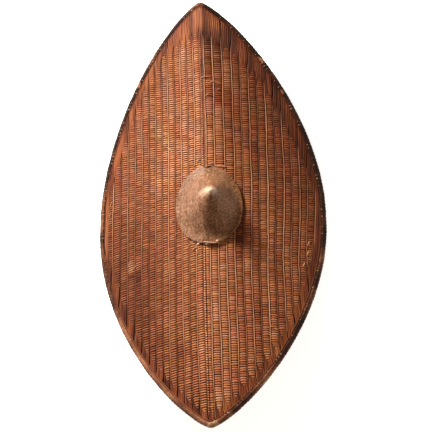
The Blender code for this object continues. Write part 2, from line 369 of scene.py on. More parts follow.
def makeWeftTree():
    # short strands laid across each column at the weft's pitch
    tree, source, result = newGeometryTree("weftCourses", {
        **weftShape, "Strand Width": weftLook["leftWidth"], "Seed": 1, "Material": "Material",
    })
    seed = out(source, "Seed")
    facing = out(source, "Facing")
    rows = evenSteps(tree, source, "Pitch", 1.0)[0]
    shift = put(tree, "FunctionNodeRandomValue", {
        "Min": (-0.6, -1.0, -0.6), "Max": (0.6, 1.0, 0.6), "Seed": seed,
    }, data_type="FLOAT_VECTOR")
    shift = put(tree, "ShaderNodeVectorMath", {
        0: out(shift), "Scale": out(source, "Unevenness"),
    }, operation="SCALE")
    rows = moveBy(tree, rows, out(shift))

    strand = put(tree, "GeometryNodeMeshCylinder", {
        "Vertices": out(source, "Sides"), "Side Segments": out(source, "Segments"),
        "Radius": 1.0, "Depth": 2.0,
    })
    x, y, z = separate(tree, read(tree, "GeometryNodeInputPosition"))
    away = z * z
    taper = 1.0 - weftLook["strandTaper"] * (away * away)
    across = x * taper * (out(source, "Strand Width") * 0.5)
    up = y * taper * (out(source, "Strand Thickness") * 0.5)
    up = up - away * abs(z) * out(source, "Arch") * facing
    crown = (0.45 + 0.55 * (y * facing)) * (1.0 - 0.45 * away)
    strand = store(tree, out(strand, "Mesh"), "crown", crown)
    shaped = moveTo(tree, strand, combine(tree, z, across, up))

    turn = randomBetween(tree, -weftLook["turn"], weftLook["turn"], seed) + field(tree, "lean")
    girth = randomBetween(tree, *weftLook["girths"], seed + 7.0)
    placed = put(tree, "GeometryNodeInstanceOnPoints", {
        "Points": rows, "Instance": shaped,
        "Rotation": combine(tree, 0.0, 0.0, turn),
        "Scale": combine(tree, field(tree, "span"), girth, girth),
    })
    single = randomBetween(tree, -1.0, 1.0, seed + 19.0)
    stretched = put(tree, "ShaderNodeVectorMath", {
        0: read(tree, "GeometryNodeInputPosition"), 1: (1.0, 0.42, 1.0),
    }, operation="MULTIPLY")
    drift = centred(tree, out(stretched), 46.0, 3.0, 0.6)
    tone = field(tree, "tone") + drift * weftLook["drift"] + single * weftLook["single"]
    placed = store(tree, out(placed), "tone", tone, "INSTANCE")
    height = combine(tree, 0.0, 0.0, out(source, "Height") * facing)
    return finishTree(tree, moveBy(tree, realize(tree, placed), height), source, result)


def markCrown(tree, geometry, facing):
    # 1 where a flat-lying strand faces outwards, 0 on its hidden side
    upwards = separate(tree, read(tree, "GeometryNodeInputNormal", "Normal"))[2]
    return store(tree, geometry, "crown", 0.5 + upwards * facing * 0.5)


def makeStrandTree():
    # long strands swept along their guides, with a flattened section
    tree, source, result = newGeometryTree("longStrands", {
        "Width": 0.0042,
        "Thickness": 0.0022,
        "Step": 0.015,
        "Waver": 0.0004,
        "Waver Scale": 30.0,
        "Sides": 8,
        "Facing": 1.0,
        "Seed": 1,
        "Material": "Material",
    })
    rows = evenSteps(tree, source, "Step", 2.0)[0]
    y = separate(tree, read(tree, "GeometryNodeInputPosition"))[1]
    place = combine(tree, field(tree, "strand") * 7.31, y, out(source, "Seed"))
    waver = centred(tree, place, out(source, "Waver Scale"), 1.0) * (out(source, "Waver") * 2.0)
    rows = moveBy(tree, rows, combine(tree, waver, 0.0, 0.0))
    swept = sweep(tree, rows, out(source, "Sides"), out(source, "Width"), out(source, "Thickness"),
                  field(tree, "span"), True)
    return finishTree(tree, markCrown(tree, swept, out(source, "Facing")), source, result)


def lineMesh(strands, closed=False, firstNumber=0):
    # guide lines: each strand is a list of points with their span, tone and lean
    points = []
    edges = []
    values = {"span": [], "tone": [], "lean": [], "strand": []}
    for number, strand in enumerate(strands, firstNumber):
        first = len(points)
        edges += [(first + n, first + n + 1) for n in range(len(strand) - 1)]
        if closed:
            edges.append((first + len(strand) - 1, first))
        for point, *numbers in strand:
            points.append(point)
            for key, value in zip(values, (*numbers, float(number))):
                values[key].append(value)
    mesh = bpy.data.meshes.new("guides")
    mesh.from_pydata(points, edges, [])
    for key, numbers in values.items():
        mesh.attributes.new(key, "FLOAT", "POINT").data.foreach_set("value", numbers)
    return mesh


def addObject(name, data):
    made = bpy.data.objects.new(name, data)
    bpy.context.scene.collection.objects.link(made)
    return made


def grow(name, guides, tree, values):
    # runs a tree on guide lines and keeps the mesh that it makes
    carrier = addObject(name + "Guides", guides)
    modifier = carrier.modifiers.new("weaving", "NODES")
    modifier.node_group = tree
    for item in tree.interface.items_tree:
        if item.in_out == "INPUT" and item.name in values:
            modifier[item.identifier] = values[item.name]
    graph = bpy.context.evaluated_depsgraph_get()
    finished = bpy.data.meshes.new_from_object(
        carrier.evaluated_get(graph), preserve_all_data_layers=True, depsgraph=graph)
    bpy.data.objects.remove(carrier)
    finished.name = name
    finished.materials.clear()
    finished.materials.append(values["Material"])
    finished.polygons.foreach_set("material_index", [0] * len(finished.polygons))
    print(name, len(finished.polygons), "faces")
    return addObject(name, finished)


def addMesh(name, vertices, faces, material):
    mesh = bpy.data.meshes.new(name)
    mesh.from_pydata(vertices, [], faces)
    mesh.materials.append(material)
    mesh.polygons.foreach_set("use_smooth", [True] * len(mesh.polygons))
    mesh.update()
    return addObject(name, mesh)


def join(piece, node):
    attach(piece, "root")
    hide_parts(node)


# Shader groups shared by the materials.
def makeFibreGroup():
    # fine streaks along a strand, and a slow drift of tone
    tree, source, result = newTree("caneFibre", "ShaderNodeTree", {
        "Vector": "Vector", "Fineness": 1.0,
    }, {"Streak": "Float", "Drift": "Float", "Height": "Float"})
    vector = out(source, "Vector")
    streak = noise(tree, vector, out(source, "Fineness"), 4.0, 0.6)
    drift = noise(tree, vector, out(source, "Fineness") * 0.22)
    feed(result, {"Streak": streak, "Drift": drift, "Height": streak * 0.7 + drift * 0.3})
    return tree


darkeningLook = {
    "upper": (-0.16, 0.12),
    "right": (-0.03, 0.05),
    "sides": 0.85,
    "ends": (0.30, 0.58),
    "blotches": 0.7,
    "lowerRightPaler": 0.62,
    "upperRight": (0.05, 0.27),
    "lowerLeft": (0.04, 0.26),
    "gapsBelow": 0.46,
    "tint": (0.10, 0.30, 0.50),
}


def makeDarkeningGroup():
    # darkens away from the ridge, most above the boss, with painted shade in the gaps between strands
    tree, source, result = newTree("edgeDarkeningAndGapShade", "ShaderNodeTree", {
        "Color": "Color", "Crown": 1.0, "Gap Shade": 0.7, "Edge Darkening": 0.4,
    }, {"Color": "Color", "Gap Shade Mask": "Float"})
    place = read(tree, "ShaderNodeTexCoord", "Object")
    x, y = separate(tree, place)[:2]
    upper = mapRange(tree, y, *darkeningLook["upper"], 0.0, 1.0)
    right = mapRange(tree, x, *darkeningLook["right"], 0.0, 1.0)
    lower = 1.0 - upper
    left = 1.0 - right
    end = abs(y) / halfLength
    endShare = darkeningLook["ends"][0] + upper * darkeningLook["ends"][1]
    far = abs(x) / halfWidth * darkeningLook["sides"] + end * end * endShare
    far = far + centred(tree, place, 9.0, 4.0, 0.6) * darkeningLook["blotches"]
    far = mapRange(tree, far, 0.0, 1.1, 0.0, 1.0, False)
    weight = 0.95 + upper * 0.10 - lower * right * darkeningLook["lowerRightPaler"]
    shade = 1.0 - far * (weight * out(source, "Edge Darkening"))
    for quarter, (near, further) in (
        (upper * right, darkeningLook["upperRight"]),
        (lower * left, darkeningLook["lowerLeft"]),
    ):
        shade = shade - quarter * (near + far * further)
    # painted shade: darker on each strand's hidden side and in the gaps between strands, less towards
    # the bottom
    packed = mapRange(tree, noise(tree, place, 38.0), 0.36, 0.62, 0.40, 1.0)
    gap = mapRange(tree, out(source, "Crown"), 0.20, 0.80, 1.0, 0.0)
    gap = gap * (out(source, "Gap Shade") * packed)
    gap = gap * mapRange(tree, y, -0.38, -0.10, darkeningLook["gapsBelow"], 1.0)
    shade = shade * (1.0 - gap)
    # patches that lean to purple or to olive
    tint = centred(tree, place, 21.0, 3.0, 0.6)
    red, green, blue = darkeningLook["tint"]
    redder = combine(
        tree,
        shade * (1.0 + tint * red),
        shade ** 1.22 * (1.0 - tint * green),
        shade ** 1.38 * (1.02 + tint * blue),
    )
    darkenedColor = put(tree, "ShaderNodeVectorMath", {0: out(source, "Color"), 1: redder}, operation="MULTIPLY")
    feed(result, {"Color": out(darkenedColor), "Gap Shade Mask": gap})
    return tree


fibreGroup = makeFibreGroup()
darkeningGroup = makeDarkeningGroup()


def colorRamp(tree, factor, stops):
    ramp = put(tree, "ShaderNodeValToRGB", {"Fac": factor})
    elements = ramp.color_ramp.elements
    while len(elements) > 1:
        elements.remove(elements[-1])
    elements[0].position = stops[0][0]
    elements[0].color = (*stops[0][1], 1.0)
    for position, color in stops[1:]:
        element = elements.new(position)
        element.color = (*color, 1.0)
    return out(ramp, "Color")


def newMaterial(name):
    material = bpy.data.materials.new(name)
    material.use_nodes = True
    tree = material.node_tree
    tree.nodes.clear()
    surface = tree.nodes.new("ShaderNodeOutputMaterial")
    shader = tree.nodes.new("ShaderNodeBsdfPrincipled")
    tree.links.new(shader.outputs[0], surface.inputs["Surface"])
    return material, tree, shader


def attribute(tree, name):
    return out(put(tree, "ShaderNodeAttribute", attribute_name=name), "Fac")


def objectPlace(tree, scale):
    place = read(tree, "ShaderNodeTexCoord", "Object")
    return out(put(tree, "ShaderNodeMapping", {"Vector": place, "Scale": scale}))


def bump(tree, height, strength, distance):
    return out(put(tree, "ShaderNodeBump", {
        "Height": height, "Strength": strength, "Distance": distance,
    }))


def caneMaterial(name, settings):
    material, tree, shader = newMaterial(name)
    fibre = put(tree, "ShaderNodeGroup", node_tree=fibreGroup)
    feed(fibre, {"Vector": objectPlace(tree, settings["grain"]), "Fineness": settings["fineness"]})
    streak = out(fibre, "Streak")
    tone = attribute(tree, "tone") + (streak - 0.5) * settings["streak"]
    tone = tone + (out(fibre, "Drift") - 0.5) * settings["drift"]
    darkener = put(tree, "ShaderNodeGroup", node_tree=darkeningGroup)
    feed(darkener, {
        "Color": colorRamp(tree, tone, settings["colors"]),
        "Crown": attribute(tree, "crown"),
        "Gap Shade": settings["gapShade"],
        "Edge Darkening": settings["edgeDarkening"],
    })
    feed(shader, {
        "Base Color": out(darkener, "Color"),
        "Roughness": settings["roughness"] + out(darkener, "Gap Shade Mask") * 0.3 + streak * 0.12,
        "Specular IOR Level": 0.12,
        "Normal": bump(tree, out(fibre, "Height"), 0.5, settings["relief"]),
    })
    return material


weftColors = [
    (0.00, (0.115, 0.030, 0.012)),
    (0.25, (0.250, 0.074, 0.031)),
    (0.50, (0.430, 0.145, 0.062)),
    (0.75, (0.620, 0.255, 0.122)),
    (1.00, (0.800, 0.430, 0.250)),
]
weftCane = {
    "grain": (60.0, 700.0, 300.0),
    "fineness": 2.0,
    "streak": 0.28,
    "drift": 0.25,
    "colors": weftColors,
    "gapShade": 0.98,
    "edgeDarkening": 0.42,
    "roughness": 0.46,
    "relief": 0.0002,
}
leftWeftCane = caneMaterial("leftWeftCane", weftCane)
# the right wing's wefts take less painted shade in their gaps
rightWeftCane = caneMaterial("rightWeftCane", {**weftCane, "gapShade": 0.58})
splintCane = caneMaterial("splintCane", {
    "grain": (700.0, 16.0, 500.0),
    "fineness": 1.6,
    "streak": 0.32,
    "drift": 0.34,
    "colors": [
        (0.00, (0.060, 0.015, 0.006)),
        (0.30, (0.180, 0.048, 0.017)),
        (0.55, (0.330, 0.100, 0.034)),
        (0.80, (0.500, 0.185, 0.064)),
        (1.00, (0.660, 0.320, 0.145)),
    ],
    "gapShade": 0.20,
    "edgeDarkening": 0.34,
    "roughness": 0.40,
    "relief": 0.0003,
})
ribLook = {
    "grain": (700.0, 20.0, 500.0),
    "fineness": 1.6,
    "streak": 0.30,
    "drift": 0.30,
    "colors": [
        (0.00, (0.100, 0.030, 0.013)),
        (0.35, (0.320, 0.118, 0.052)),
        (0.65, (0.580, 0.275, 0.140)),
        (1.00, (0.780, 0.455, 0.280)),
    ],
    "gapShade": 0.62,
    "edgeDarkening": 0.36,
    "roughness": 0.40,
    "relief": 0.0002,
}
ribCane = caneMaterial("ribCane", ribLook)
stitchCane = caneMaterial("stitchCane", {
    **ribLook, "gapShade": 0.30, "edgeDarkening": 0.10,
    "colors": [
        (0.00, (0.160, 0.060, 0.030)),
        (0.50, (0.400, 0.210, 0.115)),
        (1.00, (0.640, 0.420, 0.270)),
    ],
})


def makeCoreMaterial():
    # near-black colour stands in for the shade deep inside the weave
    material, tree, shader = newMaterial("gapShadeSheet")
    grain = noise(tree, objectPlace(tree, (600.0, 30.0, 300.0)), 1.0, 3.0)
    feed(shader, {
        "Base Color": colorRamp(tree, grain, [
            (0.2, (0.070, 0.024, 0.013)),
            (0.8, (0.160, 0.056, 0.029)),
        ]),
        "Roughness": 0.85,
        "Normal": bump(tree, grain, 0.4, 0.0004),
    })
    return material


# The weave: columns between ribs, wefts across them, splints running through from edge to edge.
weave = {
    "ribPitch": 0.0172,
    "leftPitch": 0.0150,
    "leftSpread": 0.00038,
    "firstRight": 0.0086,
    "firstLeft": 0.0047,
    "lowerGather": 0.045,
    "upperShift": 0.0054,
    "wavers": ((0.0005, 21), (0.0004, 47), (0.0002, 110)),
    "weftPitch": 0.0047,
    "insets": {(-1, True): 0.021, (1, True): 0.030, (-1, False): 0.019, (1, False): 0.0155},
    "widestInsets": {-1: 0.0125, 1: 0.0140},
    "widestSpan": 0.18,
    "endShare": 0.35,
    "stray": {(-1, True): -0.0020, (1, True): 0.0, (-1, False): 0.0040, (1, False): 0.0025},
    "strayChance": 0.0024,
    "outerMargin": 0.004,
    "raggedTop": (-0.008, 0.004),
    "raggedBottom": (-0.003, 0.007),
    "leastWoven": 0.07,
    "toneSpread": 0.07,
    "topDepth": {-1: 0.048, 1: 0.036},
    "topReach": {-1: 0.100, 1: 0.175},
    "ribsPerWing": 15,
    "splintsPerColumn": 5,
    "seed": 417,
}
chance = random.Random(weave["seed"])
waverPhase = [[chance.uniform(0, 6.28) for n in range(3)] for k in range(40)]


def ribArc(side, index, y):
    # where a rib lies down its wing; the right wing's first ribs crowd the ridge above the boss
    if side > 0:
        arc = weave["firstRight"] + weave["ribPitch"] * index
        fade = 1 - smooth(0.7, 3.2, index)
        arc -= weave["upperShift"] * fade * smooth(-0.03, 0.09, y)
        arc *= 1 - weave["lowerGather"] * smooth(0.06, -0.14, y)
    else:
        arc = weave["firstLeft"] + weave["leftPitch"] * index
        arc += weave["leftSpread"] * max(0, index - 6) ** 2
    phases = waverPhase[index + (20 if side > 0 else 0)]
    return arc + sum(
        size * math.sin(y * turns + phase) for (size, turns), phase in zip(weave["wavers"], phases))


def columnEdges(side, index, y):
    inner = 0.0 if index == 0 else ribArc(side, index - 1, y)
    return inner, ribArc(side, index, y)


def weaveInset(side, y):
    # the weave comes close to the rim where the outline runs along the ribs
    near = weave["widestInsets"][side]
    far = weave["insets"][side, y > form["widestPlace"]]
    return near + (far - near) * smooth(0.03, weave["widestSpan"], abs(y - form["widestPlace"]))


def weaveReach(side, y):
    return reachAt(y, weaveInset(side, y))


def weaveEnd(side, middle, upper):
    # where a column's wefts stop: along the edge, and well short of the upper tip
    end = edgeHeight(middle, upper, weave["insets"][side, upper])
    for n in range(8):
        end = (end + edgeHeight(middle, upper, weaveInset(side, end))) / 2
    if upper:
        end -= weave["topDepth"][side] * (1 - smooth(0.0, weave["topReach"][side], abs(middle)))
    return end


columns = []
for side in (-1, 1):
    for index in range(weave["ribsPerWing"] + 1):
        inner, outer = columnEdges(side, index, 0.0)
        middle = lateralAt((inner + outer) / 2)
        if middle > halfWidth - weave["outerMargin"]:
            continue
        near = lateralAt(inner + (outer - inner) * weave["endShare"])
        top = weaveEnd(side, near, True) + chance.uniform(*weave["raggedTop"])
        bottom = weaveEnd(side, near, False) + chance.uniform(*weave["raggedBottom"])
        woven = top - bottom > weave["leastWoven"] and near < weaveReach(side, 0.0) - 0.003
        phase = 0.5 * (index % 2)
        lastRow = math.floor(top / weave["weftPitch"] - phase)
        firstRow = math.ceil(bottom / weave["weftPitch"] - phase)
        columns.append({
            "side": side,
            "index": index,
            "woven": woven,
            "top": (lastRow + phase) * weave["weftPitch"],
            "bottom": (firstRow + phase) * weave["weftPitch"],
            "tone": chance.uniform(-weave["toneSpread"], weave["toneSpread"]),
            "stray": {
                upper: 0.0 if index == 0 else (
                    weave["stray"][side, upper] + chance.uniform(-1, 1) * weave["strayChance"])
                for upper in (False, True)
            },
        })

weftShape = {
    "Pitch": weave["weftPitch"],
    "Strand Thickness": 0.0020,
    "Arch": 0.0012,
    "Height": 0.0026,
    "Facing": 1.0,
    "Unevenness": 0.00028,
    "Segments": 6,
    "Sides": 6,
}
weftLook = {
    "ridgeTone": 0.66,
    "wingTone": 0.52,
    "endTaper": 0.020,
    "endSpan": 0.66,
    "upperLeftLean": -0.17,
    "lowerLeftLean": 0.13,
    "rightLean": 0.05,
    "leftWidth": 0.0035,
    "rightWidth": 0.0040,
    "strandTaper": 0.42,
    "ridgeGap": 0.0002,
    "ridgeGapAbove": 0.0007,
    "paleRibGap": 0.0014,
    "ribGaps": {-1: 0.0006, 1: 0.0007},
    "leastSpan": 0.0035,
    "turn": 0.06,
    "girths": (0.86, 1.12),
    "drift": 0.55,
    "single": 0.13,
    "litReach": 0.05,
    "darkColumn": 4,
    "darkFade": 0.34,
    "darkTop": 0.12,
    "upperLeftPaler": 0.11,
    "lowerRightPaler": 0.05,
    "topFade": 0.12,
    "litRidge": 0.20,
    # patches: distance from the ridge, height up the shield, reach, change of tone
    "marks": (
        (-0.154, -0.109, 0.016, 0.46), (-0.146, -0.1325, 0.020, -0.30), (-0.100, 0.060, 0.030, 0.10),
        (0.012, 0.300, 0.034, -0.30), (0.030, 0.235, 0.030, -0.30), (0.010, 0.366, 0.040, -0.34),
        (0.034, 0.396, 0.020, 0.26), (-0.022, 0.362, 0.030, 0.10), (-0.046, 0.320, 0.024, 0.08),
        (0.052, 0.215, 0.024, -0.16), (0.040, 0.300, 0.022, 0.12), (-0.060, -0.300, 0.030, -0.12),
        (-0.125, -0.215, 0.026, -0.14), (0.120, -0.210, 0.030, -0.12),
    ),
}


def isPale(side, index):
    # which ribs stand out pale between the wefts
    return index % 2 == 1 or (side > 0 and index < 4)


def markTone(lateral, y):
    # darker and paler patches of the cane
    tone = 0.0
    for placeX, placeY, size, change in weftLook["marks"]:
        distance = math.hypot(lateral - placeX, y - placeY)
        tone += change * (1 - smooth(0.4, 1.0, distance / size))
    return tone


def weftLean(side, lateral, y):
    # the wefts climb towards the upper left edge and fall towards the lower left; on the right they
    # lie nearly level
    if side > 0:
        return weftLook["rightLean"]
    upper = weftLook["upperLeftLean"] * smooth(0.0, 0.16, y) * smooth(0.02, 0.11, -lateral)
    return upper + weftLook["lowerLeftLean"] * smooth(0.02, -0.10, y)


def weftTone(column, lateral, near, y):
    # paler along the lit side of the ridge, darker under the upper tip and beside the boss
    index = column["index"]
    tone = weftLook["wingTone"] + (weftLook["ridgeTone"] - weftLook["wingTone"]) * near + column["tone"]
    if column["side"] < 0:
        tone += weftLook["upperLeftPaler"] * smooth(-0.05, 0.10, y)
        if index == 0:
            tone += weftLook["litRidge"] * smooth(-0.05, -0.10, y) * smooth(-0.40, -0.30, y)
    else:
        tone += weftLook["lowerRightPaler"] * near * smooth(-0.04, -0.12, y)
    tone += markTone(lateral, y)
    tone -= weftLook["topFade"] * (1 - smooth(0.0, 0.035, column["top"] - y))
    if column["side"] > 0 and index == weftLook["darkColumn"]:
        tone -= weftLook["darkFade"] * smooth(-0.15, -0.09, y) * (1 - smooth(0.0, 0.05, y))
    if column["side"] > 0 and index < 3:
        tone -= weftLook["darkTop"] * smooth(0.19, 0.26, y)
    return tone


def weftGuides(side):
    strands = []
    for column in columns:
        if column["side"] != side or not column["woven"]:
            continue
        strand = []
        span = column["top"] - column["bottom"]
        steps = max(2, round(span / weave["weftPitch"]) // 2)
        for step in range(steps + 1):
            y = column["bottom"] + span * step / steps
            inner, outer = columnEdges(side, column["index"], y)
            if column["index"] == 0:
                inner += weftLook["ridgeGap"] + weftLook["ridgeGapAbove"] * smooth(0.05, 0.12, y)
            elif side > 0 and isPale(side, column["index"] - 1):
                inner += weftLook["paleRibGap"]
            else:
                inner += weftLook["ribGaps"][side]
            outer -= weftLook["ribGaps"][side]
            low = lateralAt(side * inner)
            high = lateralAt(side * outer)
            limit = max(abs(low) + weftLook["leastSpan"], weaveReach(side, y))
            high = side * min(abs(high), limit)
            toEnd = min(y - column["bottom"], column["top"] - y)
            full = smooth(-0.002, weftLook["endTaper"], toEnd)
            full = weftLook["endSpan"] + (1 - weftLook["endSpan"]) * full
            near = math.exp(-abs(low) / weftLook["litReach"])
            middle = (low + high) / 2
            strand.append(((middle, y, 0.0), abs(high - low) / 2 * full,
                           weftTone(column, middle, near, y), weftLean(side, middle, y)))
        strands.append(strand)
    return strands


weftTree = makeWeftTree()
strandTree = makeStrandTree()
wovenPieces = []
for side, name, width, material in (
    (-1, "leftWefts", weftLook["leftWidth"], leftWeftCane),
    (1, "rightWefts", weftLook["rightWidth"], rightWeftCane),
):
    guides = lineMesh(weftGuides(side))
    front = {**weftShape, "Strand Width": width, "Material": material, "Seed": weave["seed"] + side}
    back = {**front, "Seed": front["Seed"] + 5, "Facing": -1.0, "Segments": 4, "Sides": 5}
    wovenPieces.append(grow(name, guides, weftTree, front))
    wovenPieces.append(grow(name + "Back", guides, weftTree, back))
print("wefts laid")

ribShape = {
    "Width": 0.0021,
    "Thickness": 0.0020,
    "Step": 0.009,
    "Waver": 0.0003,
    "Waver Scale": 60.0,
    "Sides": 8,
    "Seed": 3,
    "Material": ribCane,
    "height": 0.0028,
    "endMargin": 0.007,
    "steps": 40,
    "paleTones": (0.56, 0.84),
    "paleGirths": (0.80, 1.0),
    "dullTones": (0.34, 0.56),
    "dullGirths": (0.62, 0.78),
    "rightDarker": 0.08,
    "endShare": 0.62,
    "patches": 0.17,
    "lowerLeft": {"sunk": 0.0007, "dull": 0.14},
    "upperRightSunk": 0.0005,
}


def ribGuides(facing):
    strands = []
    margin = ribShape["endMargin"]
    for side in (-1, 1):
        for index in range(weave["ribsPerWing"]):
            middle = lateralAt(side * ribArc(side, index, 0.0))
            if abs(middle) > halfWidth - margin:
                continue
            top = edgeHeight(middle, True) - margin
            bottom = edgeHeight(middle, False) + margin
            kind = "pale" if isPale(side, index) else "dull"
            tone = chance.uniform(*ribShape[kind + "Tones"])
            if side > 0:
                tone -= ribShape["rightDarker"]
            girth = chance.uniform(*ribShape[kind + "Girths"])
            grade = chance.uniform(0.5, 2.5)
            strand = []
            for step in range(ribShape["steps"] + 1):
                y = bottom + (top - bottom) * step / ribShape["steps"]
                woven = smooth(0.0, 0.03, min(top - 0.062 - y, y - bottom - 0.05))
                proud = ribShape["endShare"] + (1 - ribShape["endShare"]) * woven
                height = ribShape["height"] * proud
                if side > 0 and kind == "dull":
                    height -= ribShape["upperRightSunk"] * smooth(-0.12, 0.04, y)
                dull = 0.0
                if side < 0:
                    lowerLeft = smooth(-0.02, -0.14, y)
                    height -= ribShape["lowerLeft"]["sunk"] * lowerLeft
                    dull = ribShape["lowerLeft"]["dull"] * lowerLeft
                patchy = mathNoise.noise(Vector((index * 3.7 + side, y * 14, grade)))
                patchy *= ribShape["patches"]
                lateral = lateralAt(side * ribArc(side, index, y))
                strand.append(((lateral, y, facing * height), girth * (1 + 1.2 * patchy),
                               (tone - dull + patchy) * proud, 0.0))
            strands.append(strand)
    return strands


wovenPieces.append(grow("frontRibs", lineMesh(ribGuides(1)), strandTree, ribShape))
backLook = {**ribShape, "Seed": 9, "Facing": -1.0}
wovenPieces.append(grow("backRibs", lineMesh(ribGuides(-1)), strandTree, backLook))

splintShape = {
    "Width": 0.0037,
    "Thickness": 0.0020,
    "Step": 0.013,
    "Waver": 0.00045,
    "Waver Scale": 26.0,
    "Sides": 8,
    "Seed": 21,
    "Material": splintCane,
    "borderHeight": 0.0030,
    "wovenHeight": 0.0011,
    "endInset": 0.0058,
    "endMargin": 0.005,
    "steps": 60,
    "tones": (0.18, 0.30, 0.36, 0.40, 0.46, 0.58),
    "squeeze": 0.72,
    "wovenDarker": 0.30,
    "patches": 0.30,
    "sideMargin": 0.0035,
    "toneSpread": 0.06,
    "outerLeft": 0.17,
    "outerLeftPaler": 0.05,
    "leftPaler": 0.05,
    "upperLeftPaler": 0.11,
    "upperRightDarker": 0.03,
    "marks": 0.8,
    "wovenSpan": 0.86,
    "stagger": 0.0003,
}


def splintGuides(facing):
    strands = []
    rise = splintShape["borderHeight"] - splintShape["wovenHeight"]
    for column in columns:
        side = column["side"]
        index = column["index"]
        inner, outer = columnEdges(side, index, 0.0)
        number = max(1, round((outer - inner) / weave["ribPitch"] * weave["splintsPerColumn"]))
        for n in range(number):
            share = (n + 0.5) / number
            middle = lateralAt(side * (inner + (outer - inner) * share))
            if abs(middle) > halfWidth - splintShape["sideMargin"]:
                continue
            top = edgeHeight(middle, True) - splintShape["endMargin"]
            bottom = edgeHeight(middle, False) + splintShape["endMargin"]
            if n % 2 == 0:
                base = chance.choice(splintShape["tones"])
            tone = base + chance.uniform(-splintShape["toneSpread"], splintShape["toneSpread"])
            if side < 0 and abs(middle) > splintShape["outerLeft"]:
                tone += splintShape["outerLeftPaler"]
            strand = []
            for step in range(splintShape["steps"] + 1):
                y = bottom + (top - bottom) * step / splintShape["steps"]
                edgeIn, edgeOut = columnEdges(side, index, y)
                beyond = max(y - column["top"], column["bottom"] - y) if column["woven"] else 1.0
                reach = weaveReach(side, y) if column["woven"] else 0.0
                beyond = max(beyond, 1.6 * (abs(middle) - reach))
                free = smooth(-0.012, 0.024, beyond)
                squeeze = splintShape["squeeze"] + (1 - splintShape["squeeze"]) * free
                if index:
                    arc = (edgeIn + edgeOut) / 2 + (edgeOut - edgeIn) * (share - 0.5) * squeeze
                else:
                    arc = edgeOut * share * squeeze
                if column["woven"]:
                    arc += column["stray"][y > 0] * smooth(0.0, 0.030, beyond)
                limit = reachAt(y, splintShape["endInset"])
                lateral = max(-limit, min(limit, lateralAt(side * arc)))
                outside = smooth(-0.014, 0.002, beyond)
                height = splintShape["wovenHeight"] + rise * outside + splintShape["stagger"] * (n % 2)
                if side < 0:
                    paler = splintShape["upperLeftPaler"] * smooth(0.10, 0.26, y)
                    paler += splintShape["leftPaler"]
                else:
                    paler = -splintShape["upperRightDarker"] * smooth(0.0, 0.15, y)
                broad = mathNoise.noise(Vector((middle * 42, y * 16, facing * 2.7)))
                shade = tone + paler + splintShape["patches"] * broad
                shade += splintShape["marks"] * markTone(middle, y)
                # painted shade where the splints run under the wefts
                shade -= splintShape["wovenDarker"] * (1 - outside)
                span = splintShape["wovenSpan"] + (1 - splintShape["wovenSpan"]) * free
                strand.append(((lateral, y, facing * height), span, shade, 0.0))
            strands.append(strand)
    return strands


wovenPieces.append(grow("frontSplints", lineMesh(splintGuides(1)), strandTree, splintShape))
backLook = {**splintShape, "Seed": 33, "Step": 0.03, "Sides": 6, "Facing": -1.0}
wovenPieces.append(grow("backSplints", lineMesh(splintGuides(-1)), strandTree, backLook))

frays = {
    "Width": 0.0017,
    "Thickness": 0.0013,
    "Step": 0.002,
    "Waver": 0.0,
    "Sides": 6,
    "Seed": 2,
    "Material": ribCane,
    "height": 0.0052,
    "sag": 0.0022,
    "bow": 0.0014,
    "spans": (0.5, 0.9, 1.0, 1.0, 1.0, 0.8, 0.4),
    # place, direction in degrees, length and tone of each
    "places": (
        (-0.073, 0.125, -48, 0.018, 0.80), (-0.012, 0.087, 60, 0.012, 0.70),
        (-0.019, 0.079, 20, 0.010, 0.62), (-0.021, -0.096, 35, 0.012, 0.86),
        (-0.015, -0.101, 100, 0.010, 0.80), (-0.030, -0.087, 25, 0.009, 0.66),
        (-0.058, -0.060, 30, 0.010, 0.60), (-0.066, -0.032, 15, 0.009, 0.60),
        (0.005, 0.272, 4, 0.017, 0.82), (0.020, 0.262, -12, 0.012, 0.74),
        (0.009, 0.232, 8, 0.011, 0.70), (0.031, 0.246, 14, 0.010, 0.64),
        (-0.148, -0.112, 30, 0.013, 0.90), (-0.158, -0.103, 12, 0.012, 0.84),
        (-0.118, 0.215, -10, 0.010, 0.6), (0.196, -0.072, 62, 0.012, 0.90),
        (0.193, -0.094, 70, 0.011, 0.84), (0.185, -0.118, 66, 0.012, 0.88),
        (-0.204, 0.036, 84, 0.014, 0.86), (-0.206, 0.012, 92, 0.013, 0.80),
        (0.118, -0.250, 20, 0.008, 0.66),
    ),
}


def frayGuides():
    # broken ends of cane that have sprung out of the weave
    strands = []
    for x, y, turn, length, tone in frays["places"]:
        alongX = math.cos(math.radians(turn)) * length / 2
        alongY = math.sin(math.radians(turn)) * length / 2
        strand = []
        for step, span in zip(range(-3, 4), frays["spans"]):
            share = step / 3
            bow = frays["bow"] * (1 - share * share)
            point = (x + alongX * share - alongY * bow / length * 2,
                     y + alongY * share + alongX * bow / length * 2,
                     frays["height"] - frays["sag"] * share * share)
            strand.append((point, span, tone, 0.0))
        strands.append(strand)
    return strands


wovenPieces.append(grow("looseEnds", lineMesh(frayGuides()), strandTree, frays))


coreShape = {
    "rows": 90,
    "across": 24,
    "endInset": 0.006,
    "sideInset": 0.004,
    "halfThickness": 0.0004,
}


